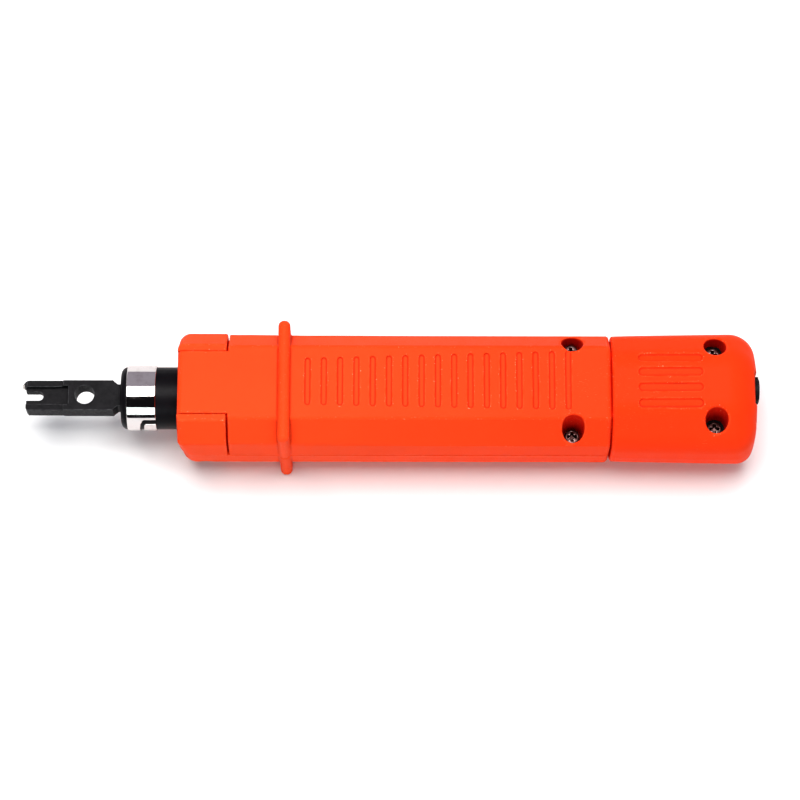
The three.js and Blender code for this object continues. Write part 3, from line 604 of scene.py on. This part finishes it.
def steel(name, colour, roughness, stretch, depth=0.004):
    """Machined steel. Its tool marks run across the direction that stretch makes fine."""
    look = Look(name, colour, roughness, 1.0)
    cloud = look.ramp(look.noise(0.35, 5.0), 0.35, 0.7)
    base = look.mix(cloud, shade(colour, 0.86), shade(colour, 1.06))
    spots = look.ramp(look.noise(1.7, 4.0), 0.66, 0.78, 0.0, 0.5)
    look.colours(look.mix(spots, base, shade(colour, 0.62)))
    marks = look.noise(3.0, 3.0, stretch)
    look.rough(look.ramp(marks, 0.3, 0.7, roughness * 0.75, roughness * 1.35))
    look.add_bump(marks, depth, 0.5)
    return look.material


def mark(piece, name, value):
    """Keeps a number between 0 and 1 at each vertex, worked out from its place in the tool's own frame."""
    points = np.empty(len(piece.data.vertices) * 3, np.float32)
    piece.data.vertices.foreach_get("co", points)
    x, y, z = ((points.reshape(-1, 3) - ORIGIN) / MM).T
    mask = piece.data.attributes.new(name, "FLOAT", "POINT")
    mask.data.foreach_set("value", np.clip(value(x, y, z), 0, 1).astype(np.float32))
    return piece


# ---- Housing ----

SECTION = [
    (14.75, 0.0), (14.2, 7.8), (9.3, 14.0), (-9.3, 14.0), (-14.2, 7.8),
    (-14.75, 0.0), (-14.2, -7.8), (-9.3, -14.0), (9.3, -14.0), (14.2, -7.8),
]
REAR_SECTION = [
    (14.75, 0.0), (14.7, 6.2), (9.3, 14.0), (-9.3, 14.0), (-14.7, 6.2),
    (-14.75, 0.0), (-14.2, -7.8), (-9.3, -14.0), (9.3, -14.0), (14.2, -7.8),
]
FLANKS = [
    (14.75, 0.0), (14.2, 7.8), (0.0, 25.77), (-14.2, 7.8),
    (-14.75, 0.0), (-14.2, -7.8), (0.0, -25.77), (14.2, -7.8),
]
SECTION_ROUND = 1.3
TOP = 14.0
LENGTH = local("top_shell")[1][0]
JOINT_GAP = local("rear_cap")[0][0] - LENGTH
FRONT = local("bottom_shell")[0][0]
NOSE_START, NOSE_END = local("nose_block")[0][0], local("nose_block")[1][0]
SLIT_END = NOSE_END + 0.5
NOSE_PROUD = 0.22
TONGUE_HALF = 8.0
TONGUE_FLOOR = 12.0
WALL = 2.4
END_WALL = 2.8
SEAM = 0.12
SEAM_ROUND = 0.3
LIP_DEPTH = 1.5
GUARD_X = 25.65
GUARD_ROUND = 1.45
GUARD_EDGE = 1.4
GUARD_HALF = (15.66, 15.74)
BARREL = 10.35
NOSE_BORE = 8.05
REAR_BORE = 8.5
RIBS = (16.5, GUARD_X, 43.0, 56.0, 69.0, 82.0)
RIB_HALF = 0.9
BEARING_X = 99.45
BEARING_HALF = 0.85
KEY_SPAN = (84.0, 92.6)
KEY_WIDTH = 12.0
GROOVE_COUNT = 17
GROOVE_PITCH = 4.015
GROOVES = [
    (31.46 + GROOVE_PITCH * i, 0.18 + 0.42 * i / (GROOVE_COUNT - 1), 6.1 + 1.55 * i / (GROOVE_COUNT - 1))
    for i in range(GROOVE_COUNT)
]
GROOVE_HALF_WIDTH = 0.72
GROOVE_DEPTH = 0.42
REAR_SCREW = (96.9, 11.0)
REAR_BOSS = 3.2
REAR_WELL_FLOOR = 2.2
NOSE_SCREW = (5.7, 11.3)
NOSE_BOSS = 3.1
NOSE_SCREW_SUNK = 2.4
NOSE_WELL_FLOOR = 8.8 - NOSE_SCREW_SUNK
COUNTERBORE = 2.75
DRAFT = 0.05
CLEARANCE = 1.7
BORE_MOUTH = 8.5
SEAR_WINDOW = (21.0, 30.5)
SEAR_RAMP = (30.2, 40.5)
SEAR_SLOPE = 0.2308


def housing_section(x, y, z):
    """The outline across the tool. Its sides grow steeper and its long chamfers deeper towards the rear."""
    front = polygon(y, z, SECTION, SECTION_ROUND)
    rear = polygon(y, z, REAR_SECTION, SECTION_ROUND)
    share = np.clip((x - 14.0) / 44.0, 0, 1)
    return front + (rear - front) * share


def corner_trim(x, y, z, front, grow):
    """Rounds the two front corners as seen from above. The near one is sharp high up and rounder below."""
    side = polygon(y, z, FLANKS, SECTION_ROUND) - grow
    near = np.clip(3.8 - 0.31 * z, 1.4, 3.8)
    far = np.clip(3.0 - 0.25 * (np.abs(z) - 7.8), 1.4, 3.0)
    return round_meet(side, front - x, np.where(y < 0, near, far))


def housing_form(grid, side):
    """The outside of both shells together. side is -1 where the grid is upside down."""
    section = housing_section(grid.x, grid.y, side * grid.z)
    form = round_meet(section, grid.x - LENGTH, 1.1)
    form = round_meet(form, FRONT - grid.x, 1.0)
    corners = corner_trim(grid.x, grid.y, side * grid.z, FRONT, 0.0)
    return np.where(np.abs(grid.y) < TONGUE_HALF, form, np.maximum(form, corners)), section


def guard(x, y, z):
    """A plate with full round edges, whose corners are a little bolder than the rest."""
    half_y, half_z = (half - GUARD_EDGE for half in GUARD_HALF)
    plate = rectangle(y, z, half_y, half_z, 0.15)
    bold = 0.06 * np.exp(-((np.abs(y) - 13.2) / 1.5) ** 2 - ((np.abs(z) - 13.4) / 1.5) ** 2)
    thick = np.maximum(np.abs(x - GUARD_X) - GUARD_ROUND + GUARD_EDGE, 0)
    return length(np.maximum(plate, 0), thick) - GUARD_EDGE - bold


def screw_well(place, floor, top):
    def tool(x, y, z):
        across = length(x - place[0], y - place[1])
        wide = np.maximum(across - COUNTERBORE + DRAFT * (10.5 - z), floor - z)
        return union(wide, across - CLEARANCE)
    return tool


def lip(section, x, low, high):
    """A thin wall just under the surface, which closes the view into a joint."""
    return np.maximum(np.maximum(section + LIP_DEPTH, -section - WALL), span(x, low, high))


def shell(side, name):
    """side is 1 for the top half and -1 for the bottom, which is made upside down and then turned over."""
    grid = Grid((-0.6, -16.2, -0.5), (LENGTH + 0.6, 16.2, 16.4), 0.22)
    form, section = housing_form(grid, side)
    add(form, grid, (GUARD_X - 4, -17, -1), (GUARD_X + 4, 17, 17), guard, 0.5)
    inner = section + WALL
    start = 5.0 if side > 0 else 2.0
    cavity = overlap(inner, span(grid.x, start, LENGTH - END_WALL), 0.6)
    radius = length(grid.y, grid.z)
    slabs = np.minimum.reduce([np.abs(grid.x - rib) - RIB_HALF for rib in RIBS])
    bearing = np.abs(grid.x - BEARING_X) - BEARING_HALF
    solid_ribs = union(np.maximum(slabs, BARREL - radius), np.maximum(bearing, REAR_BORE - radius))
    cavity = minus(cavity, solid_ribs, 0.4)
    for across in (-1, 1):
        boss = length(grid.x - REAR_SCREW[0], grid.y - across * REAR_SCREW[1]) - REAR_BOSS
        cavity = minus(cavity, np.maximum(boss, REAR_BORE - radius), 0.6)
        rail = rectangle(grid.y - across * 11.5, grid.z - 2.6, 1.2, 0.9, 0.2)
        cavity = minus(cavity, np.maximum(rail, span(grid.x, *KEY_SPAN)), 0.3)
    if side < 0:
        cradle = np.maximum(np.abs(grid.x - NOSE_END + 1.0) - 1.0, NOSE_BORE - radius)
        cavity = minus(cavity, cradle, 0.4)
        for across in (-1, 1):
            boss = length(grid.x - NOSE_SCREW[0], grid.y - across * NOSE_SCREW[1]) - NOSE_BOSS
            cavity = minus(cavity, boss, 0.5)
    form = minus(form, cavity, 0.3)
    form = minus(form, np.maximum(radius - NOSE_BORE, grid.x - NOSE_END - 1), 0.4)
    form = minus(form, np.maximum(radius - BORE_MOUTH, grid.x - 0.6), 0.3)
    form = minus(form, np.maximum(radius - REAR_BORE, 100.0 - grid.x), 0.5)
    key_way = np.maximum(grid.z - 1.7, span(grid.x, *KEY_SPAN))
    form = minus(form, overlap(np.abs(grid.y) - KEY_WIDTH, key_way), 0.2)
    if side > 0:
        tongue = np.maximum(np.abs(grid.y) - TONGUE_HALF, TONGUE_FLOOR - grid.z)
        form = round_meet(form, union(SLIT_END - grid.x, tongue), 0.22)
        form = union(form, lip(section, grid.x, NOSE_END + 0.05, SLIT_END + 1.0))
        window = np.maximum(grid.z - 11.9, span(grid.x, *SEAR_WINDOW))
        form = minus(form, np.maximum(np.abs(grid.y) - 4.0, window), 0.3)
        ramp_z = np.clip(11.6 - (grid.x - 30.0) * SEAR_SLOPE, 10.1, 11.6)
        ramp = np.maximum(np.abs(grid.y) - 2.4, np.maximum(ramp_z - grid.z, span(grid.x, *SEAR_RAMP)))
        form = union(form, np.maximum(ramp, grid.z - 12.5), 0.3)
    for x, y, half in GROOVES:
        def groove(px, py, pz, x=x, y=y, half=half):
            outline = stadium(py - y, px - x, half, GROOVE_HALF_WIDTH)
            return overlap(outline, TOP - GROOVE_DEPTH - pz, 0.10)
        carve(form, grid, (x - 1.6, -9, 13), (x + 1.6, 9, 15), groove, 0.08)
    for across in (-1, 1):
        if side > 0:
            place, floor = (REAR_SCREW[0], across * REAR_SCREW[1]), REAR_WELL_FLOOR
        else:
            place, floor = (NOSE_SCREW[0], across * NOSE_SCREW[1]), NOSE_WELL_FLOOR
            pilot = (REAR_SCREW[0], across * REAR_SCREW[1])
            box = ((pilot[0] - 3, pilot[1] - 3, -1), (pilot[0] + 3, pilot[1] + 3, 9.2))
            carve(form, grid, *box, lambda x, y, z, p=pilot: length(x - p[0], y - p[1]) - CLEARANCE, 0.0)
        box = ((place[0] - 4, place[1] - 4, -1), (place[0] + 4, place[1] + 4, 16))
        carve(form, grid, *box, screw_well(place, floor, TOP), 0.45)
    form = union(form, lip(section, grid.x, LENGTH - 1.5, LENGTH + JOINT_GAP - 0.05))
    form = round_meet(form, SEAM - grid.z, SEAM_ROUND)
    if side < 0:
        form = form[:, :, ::-1]
        grid.low = np.array([grid.low[0], grid.low[1], -grid.axes[2][-1]], np.float32)
    return mark(surface(name, grid, form), "deep", buried)


def buried(x, y, z):
    """How far a point of the housing is under its outer faces, as a share of 6 mm. The orange material paints
    shade by it.
    """
    under = -housing_section(x, y, z)
    return (np.minimum(under, -corner_trim(x, y, z, NOSE_START, 0.0)) - 0.5) / 6.0


def nose_block():
    """The bearing block's two cheeks are part of the outside. They stand a little proud of the shells."""
    grid = Grid((NOSE_START - 0.6, -15.8, -0.5), (NOSE_END + 0.6, 15.8, 14.6), 0.16)
    section = polygon(grid.y, grid.z, SECTION, SECTION_ROUND) - NOSE_PROUD
    form = round_meet(section, span(grid.x, NOSE_START, NOSE_END), 0.4)
    form = np.maximum(form, corner_trim(grid.x, grid.y, grid.z, NOSE_START, NOSE_PROUD))
    form = round_meet(form, span(grid.z, SEAM + 0.22, TOP - 0.32), SEAM_ROUND)
    form = minus(form, length(grid.y, grid.z) - NOSE_BORE, 0.4)
    form = minus(form, np.maximum(length(grid.y, grid.z) - BORE_MOUTH, grid.x - 0.6), 0.3)
    form = minus(form, np.maximum(np.abs(grid.y) - TONGUE_HALF - 0.12, 11.8 - grid.z), 0.35)
    for across in (-1, 1):
        hole = length(grid.x - NOSE_SCREW[0], grid.y - across * NOSE_SCREW[1]) - CLEARANCE
        form = minus(form, np.maximum(hole, grid.z - 8.2), 0.1)
    return mark(surface("nose_block_moulded", grid, form), "deep", buried)


# ---- Rear cap ----

CAP_START, CAP_END = local("rear_cap")[0][0], local("rear_cap")[1][0]
CAP_SECTION = [
    (15.15, 0.0), (14.8, 7.2), (6.6, 14.3), (-6.6, 14.3), (-14.8, 7.2),
    (-15.15, 0.0), (-14.8, -7.2), (-6.6, -14.3), (6.6, -14.3), (14.8, -7.2),
]
CAP_ROUND = 9.0
CAP_GROWTH = 0.55
CAP_OFFSET = 0.5
CAP_SCREW = (132.2, 9.6)
CAP_SCREW_SUNK = 2.6
CAP_WELL_FLOOR = 2.8
CAP_GROOVES = (-5.3, -1.25, 2.7, 6.5)
CAP_GROOVE_X = 120.95
CAP_GROOVE_HALF = (7.95, 1.05)
CAP_GROOVE_DEPTH = 0.38
CAP_FRONT_ROUND = 0.8
CAP_BOSS = 3.5
BLADE_POCKET_Z = 7.3
BLADE_POCKET_HALF = (4.1, 3.1)


def cap_section(x, y, z):
    """The cap's outline, which grows a little behind the joint."""
    grow = CAP_GROWTH * np.clip((x - CAP_START) / 30.0, 0, 1) ** 0.75
    return polygon(y, z, CAP_SECTION, CAP_ROUND) - grow


def cap_outside(x, y, z, section):
    """The cap with its domed end. The end's edge is rounder high up than low down."""
    dome = 0.4 * (y ** 2 + z ** 2) / 200.0
    return round_meet(section, x - CAP_END + dome, 5.1 + 0.17 * z)


def cap_buried(x, y, z):
    """How deep a point lies under the cap's outer faces: 0 down to 0.5 mm, and 1 from 6.5 mm. The orange
    material paints shade by it.
    """
    return (-cap_outside(x, y, z, cap_section(x, y, z)) - 0.5) / 6.0


def rear_cap():
    grid = Grid((CAP_START - 0.5, -16.0, -15.4), (CAP_END + 0.5, 16.0, 15.4), 0.22)
    section = cap_section(grid.x, grid.y, grid.z)
    form = cap_outside(grid.x, grid.y, grid.z, section)
    form = round_meet(form, CAP_START - grid.x, CAP_FRONT_ROUND)
    cavity = round_meet(section + WALL, grid.x - CAP_END + END_WALL, 4.0)
    places = [(CAP_SCREW[0], CAP_OFFSET + across * CAP_SCREW[1]) for across in (-1, 1)]
    bosses = [np.maximum(length(grid.x - x, grid.y - y) - CAP_BOSS, 1.6 - grid.z) for x, y in places]
    cavity = minus(cavity, union(*bosses), 0.5)
    form = minus(form, cavity, 0.3)
    pocket = rectangle(grid.y, grid.z - BLADE_POCKET_Z, *BLADE_POCKET_HALF, 0.6)
    form = minus(form, overlap(pocket, 137.0 - grid.x), 0.35)
    for y in CAP_GROOVES:
        cut, px, py, _ = grid.window((112, y - 2, 8), (130, y + 2, 15.4))
        outline = stadium(px - CAP_GROOVE_X, py - y, *CAP_GROOVE_HALF)
        groove = overlap(outline, -CAP_GROOVE_DEPTH - section[cut], 0.15)
        form[cut] = minus(form[cut], groove, 0.18)
    for place in places:
        box = ((place[0] - 4, place[1] - 4, 0), (place[0] + 4, place[1] + 4, 16))
        carve(form, grid, *box, screw_well(place, CAP_WELL_FLOOR, TOP), 0.5)
    return mark(surface("rear_cap_moulded", grid, form), "deep", cap_buried)


# ---- Plunger, spring band and screws ----

PLUNGER_RADIUS = 7.75
PLUNGER_FRONT = -15.2
PLUNGER_REAR = 14.5
SHOULDER_RADIUS = 9.5
BAYONET_FLOOR = -6.0
SHANK_BORE = 3.05
ROD_BORE = 3.3
DETENT_X = -10.35
DETENT_BORE = 2.35


def plunger():
    """The black stem with its rear shoulder, the bayonet socket in its front and the rod's bore behind."""
    grid = Grid((-15.7, -10.0, -10.0), (15.0, 10.0, 10.0), 0.18)
    radius = length(grid.y, grid.z)
    stem = round_meet(radius - PLUNGER_RADIUS, PLUNGER_FRONT - grid.x, 1.6)
    stem = round_meet(stem, grid.x - PLUNGER_REAR, 0.3)
    shoulder = round_meet(radius - SHOULDER_RADIUS, span(grid.x, 11.7, PLUNGER_REAR), 0.3)
    form = union(stem, shoulder, 0.3)
    form = minus(form, np.maximum(radius - SHANK_BORE, grid.x - BAYONET_FLOOR), 0.3)
    slot = np.maximum(np.abs(grid.z) - 3.7, grid.x - BAYONET_FLOOR)
    slot = np.maximum(np.abs(grid.y) - 1.4, slot)
    form = minus(form, slot, 0.25)
    form = minus(form, np.maximum(radius - 3.95, span(grid.x, -7.2, -4.3)))
    form = minus(form, np.maximum(radius - ROD_BORE, 9.0 - grid.x), 0.3)
    form = minus(form, np.maximum(length(grid.x - DETENT_X, grid.z) - DETENT_BORE, -grid.y))
    return surface("plunger_turned", grid, form)


BAND_X = local("socket_ring")[0][0], local("socket_ring")[1][0]
BAND_RADIUS = 8.15
BAND_THICKNESS = 0.35
GAP_START = math.radians(157)
GAP_END = math.radians(222)


def spring_band():
    """The polished strip round the plunger. Its ends meet in a crooked gap."""
    grid = Grid((BAND_X[0] - 0.4, -8.6, -8.6), (BAND_X[1] + 0.4, 8.6, 8.6), 0.1)
    middle = BAND_RADIUS - BAND_THICKNESS / 2
    wall = np.abs(length(grid.y, grid.z) - middle) - BAND_THICKNESS / 2
    form = round_meet(wall, span(grid.x, *BAND_X), 0.14)
    angle = np.arctan2(grid.z, grid.y)
    angle = np.where(angle < 0, angle + 2 * math.pi, angle)
    start, end = GAP_START * BAND_RADIUS, GAP_END * BAND_RADIUS
    turn = BAND_X[1] - 3.4
    path = [(BAND_X[1] + 2, start), (turn + 0.7, start), (turn + 0.2, start + 0.2), (turn, start + 0.7)]
    path += [(turn - 0.2, start + 3.0), (turn, end - 0.7), (turn - 0.3, end), (BAND_X[0] - 2, end)]
    around = angle * BAND_RADIUS
    gap = np.minimum(polyline(grid.x, around, path) - 0.5, polyline(grid.x, around + 0.3, path[:2]) - 0.8)
    return surface("spring_band_rolled", grid, minus(form, gap, 0.12))


def cross_screw(name, node, flip, sunk):
    """A pan-head screw with a cross recess, drawn head up and turned over for a head that looks down."""
    low, high = local(node)
    middle = (low + high) / 2
    height = high[2] - low[2] - sunk
    grid = Grid((-2.8, -2.8, -0.4), (2.8, 2.8, height + 0.3), 0.085)
    across = length(grid.x, grid.y)
    lift = height - grid.z
    head = (high[0] - low[0]) / 2
    dome = 0.05 * across ** 2
    form = round_meet(across - head, dome - lift, 0.4)
    form = round_meet(form, height - (1.8 if flip else 1.6) - grid.z, 0.15)
    shank = round_meet(across - 1.32, -grid.z, 0.4)
    thread = 0.12 * (2 * np.abs((grid.z / 0.9) % 1.0 - 0.5) - 0.5)
    form = union(form, np.maximum(shank + thread, grid.z - height + 1.0), 0.2)
    taper = np.clip(lift, 0, 1.6)
    for u, v in ((grid.x, grid.y), (grid.y, grid.x)):
        arm = np.maximum(np.abs(u) - 0.40 + 0.10 * taper, np.abs(v) - 1.30 + 0.50 * taper)
        form = minus(form, np.maximum(arm, lift - 1.25), 0.08)
    if flip:
        form = form[:, ::-1, ::-1]
        grid.low = np.array([-2.8, -grid.axes[1][-1], height - grid.axes[2][-1]], np.float32)
    foot = low[2] + (sunk if flip else 0.0)
    grid.low = grid.low + np.array([middle[0], middle[1], foot], np.float32)
    return surface(name, grid, form)


# ---- Blade ----

BLADE_PLAN = [
    (-17.4, 3.88), (-16.2, 2.85), (-14.6, 2.72), (-14.6, -2.72), (-16.2, -2.85), (-17.4, -3.88),
    (-38.6, -3.88), (-39.1, -3.25), (-39.1, 2.4), (-39.9, 2.4), (-40.15, 2.5), (-40.2, 2.7),
    (-40.15, 3.15), (-39.85, 3.4), (-39.3, 3.65), (-38.4, 3.88),
]
BLADE_HALF = 2.75
FORK_SLOT = (-38.8, 4.0, 1.12)
CROSS_HOLE = (-24.4, 2.4)
BLADE_MIDDLE = 0.1


def blade(name):
    """The 110-type blade: forked end with a hooked cutting edge, cross hole, neck and lugged shank."""
    low, high = local("blade")
    grid = Grid((low[0] - 0.4, -4.2, -3.2), (high[0] + 0.4, 4.2, 3.2), 0.1)
    x, y, z = grid.x, grid.y, grid.z
    plan = polygon(x, y, BLADE_PLAN)
    form = round_meet(plan, np.abs(z) - BLADE_HALF, 0.16)
    form = minus(form, np.maximum(x + 29.8, 2.3 - np.abs(z)), 0.15)
    flare = 2.2 + 0.25 * np.clip((x + 32.0) / 3.0, 0, 1)
    form = minus(form, np.maximum(x + 28.5, np.maximum(1.2 - np.abs(z), np.abs(y) - flare)), 0.15)
    form = minus(form, stadium(x - FORK_SLOT[0], y - BLADE_MIDDLE, *FORK_SLOT[1:]), 0.1)
    form = minus(form, length(x - CROSS_HOLE[0], y - BLADE_MIDDLE) - CROSS_HOLE[1], 0.12)
    sharp = np.abs(z) - 0.15 - np.clip(x + 40.2, 0, 3) * 1.6
    form = np.where((x < -38.7) & (y > 1.8), np.maximum(form, sharp), form)
    round_shank = np.maximum(length(y, z) - BLADE_HALF, span(x, -16.2, high[0] - 0.05))
    form = np.where(x > -15.1, round_shank, union(form, round_shank))
    lugs = round_meet(rectangle(y, z, 3.3, 1.1, 0.3), span(x, high[0] - 2.3, high[0] - 0.15), 0.25)
    form = union(form, lugs, 0.15)

    def ground(x, y, z):
        along = np.clip((-39.45 - x) / 0.25, 0, 1)
        return along * np.clip((3.3 - y) / 0.3, 0, 1) * np.clip((y - 1.9) / 0.2, 0, 1)

    return mark(surface(name, grid, form), "ground", ground)


def spare_of(piece, name):
    """A second blade of the same make, stored in the cap."""
    shift = Vector(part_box("spare_blade")[0]) - Vector(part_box("blade")[0])
    twin = bpy.data.objects.new(name, piece.data.copy())
    bpy.context.scene.collection.objects.link(twin)
    points = np.empty(len(twin.data.vertices) * 3, np.float32)
    twin.data.vertices.foreach_get("co", points)
    points = points.reshape(-1, 3) + np.array(shift, np.float32)
    twin.data.vertices.foreach_set("co", points.ravel())
    twin.data.update()
    return twin


# ---- Springs ----

STEPS_PER_TURN = 36
WIRE_SIDES = 12


def coil_spring(name, radius, wire, ends, turns, end_pitch, part, place):
    """A compression spring with closed end turns.

    part is the first and last turn that is made. place puts points of the spring's own frame, whose x is its
    axis, into the tool's."""
    start, end = ends
    pitch = (end - start - 2 * end_pitch) / (turns - 2)
    turn = np.linspace(part[0], part[1], int((part[1] - part[0]) * STEPS_PER_TURN) + 1)
    along = np.where(turn > 1, start + end_pitch + (turn - 1) * pitch, start + turn * end_pitch)
    along = np.where(turn > turns - 1, end - (turns - turn) * end_pitch, along)
    angle = (turn * 2 * math.pi)[:, None]
    around = (np.arange(WIRE_SIDES) * 2 * math.pi / WIRE_SIDES)[None, :]
    out = radius + wire * np.cos(around)
    x = along[:, None] + wire * np.sin(around)
    points = np.stack(place(x, out * np.cos(angle), out * np.sin(angle)), -1).reshape(-1, 3)
    rings = len(turn)
    faces = [tuple(range(WIRE_SIDES)), tuple(range(rings * WIRE_SIDES - 1, (rings - 1) * WIRE_SIDES - 1, -1))]
    for i in range(rings - 1):
        for j in range(WIRE_SIDES):
            k = (j + 1) % WIRE_SIDES
            low, high = i * WIRE_SIDES, (i + 1) * WIRE_SIDES
            faces.append((low + k, low + j, high + j, high + k))
    mesh = bpy.data.meshes.new(name)
    mesh.from_pydata((points * MM + ORIGIN).tolist(), [], faces)
    mesh.polygons.foreach_set("use_smooth", [False, False] + [True] * (len(faces) - 2))
    mesh.update()
    corners = np.array(faces[2:])
    a, b, c, d = (points[corners[:, i]] for i in range(4))
    volume = np.einsum("ij,ij->", np.cross(a, b), c) + np.einsum("ij,ij->", np.cross(a, c), d)
    if volume < 0:
        mesh.flip_normals()
    piece = bpy.data.objects.new(name, mesh)
    bpy.context.scene.collection.objects.link(piece)
    return piece


IMPACT_COIL = {"radius": 6.5, "wire": 1.0, "ends": (43.3, 86.7), "turns": 9, "end_pitch": 2.15}
SEAR_COIL = {"radius": 1.9, "wire": 0.3, "ends": (5.25, 8.25), "turns": 5, "end_pitch": 0.64}
SEAR_X = 27.25
PRESS = 6.5
SEAT_TRAVEL = 0.95 * math.radians(150)


def springs():
    """The impact spring is made in two halves, a front and a rear one."""
    halves = [
        ("front", (0.0, 4.498), "hammer_slide", PRESS),
        ("rear", (4.502, 9.0), "seat_slide", SEAT_TRAVEL),
    ]
    for end, part, joint, travel in halves:
        piece = coil_spring(f"impact_spring_{end}", part=part, place=lambda x, y, z: (x, y, z), **IMPACT_COIL)
        finished(piece, "impact_spring", spring_wire)
        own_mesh(piece)

    def upright(x, y, z):
        return z + SEAR_X, y, -x

    piece = coil_spring("sear_spring_wound", part=(0.0, 5.0), place=upright, **SEAR_COIL)
    finished(piece, "sear_spring", spring_wire)
    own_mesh(piece)


# ---- The object ----

ORANGE = (0.92, 0.077, 0.0175)
CAP_ORANGE = (0.92, 0.067, 0.0135)
JOINT_X = FRONT_X + LENGTH * MM
housing_orange = orange_plastic("orange_housing", ORANGE, JOINT_X - 0.012, JOINT_X)
cap_orange = orange_plastic("orange_cap", CAP_ORANGE, JOINT_X, JOINT_X + 0.022)
black = black_plastic()
band_metal = chrome_band()
oxide = black_oxide()
screw_metal = screw_plate()
inner_steel = steel("ground_steel", (0.50, 0.50, 0.52), 0.30, (5.0, 0.5, 0.5))
hard_steel = steel("hardened_steel", (0.24, 0.24, 0.26), 0.38, (0.6, 0.6, 5.0))
spring_wire = steel("spring_wire", (0.34, 0.34, 0.36), 0.32, (2.0, 2.0, 2.0))

finished(shell(1, "top_shell_moulded"), "top_shell", housing_orange)
finished(shell(-1, "bottom_shell_moulded"), "bottom_shell", housing_orange)
finished(nose_block(), "nose_block", housing_orange)
finished(rear_cap(), "rear_cap", cap_orange)
finished(plunger(), "plunger_socket", black)
finished(spring_band(), "socket_ring", band_metal)
main_blade = blade("blade_milled")
spare = spare_of(main_blade, "spare_blade_milled")
finished(main_blade, "blade", oxide)
finished(spare, "spare_blade", oxide)
for place in ("housing_screw", "nose_screw", "cap_screw"):
    for side in ("near", "far"):
        node = f"{place}_{side}"
        sunk = {"cap_screw": CAP_SCREW_SUNK, "nose_screw": NOSE_SCREW_SUNK}.get(place, 0.0)
        screw = cross_screw(f"{node}_turned", node, place == "nose_screw", sunk)
        finished(screw, node, screw_metal)

INNER = {
    "adjuster_hub": black, "spring_seat": black, "striker_rod": inner_steel, "detent_ball": inner_steel,
    "hammer": inner_steel, "sear_block": hard_steel, "return_spring": spring_wire,
}
springs()
for node, material in INNER.items():
    slots = frame["nodes"][node].data.materials
    slots.clear()
    slots.append(material)
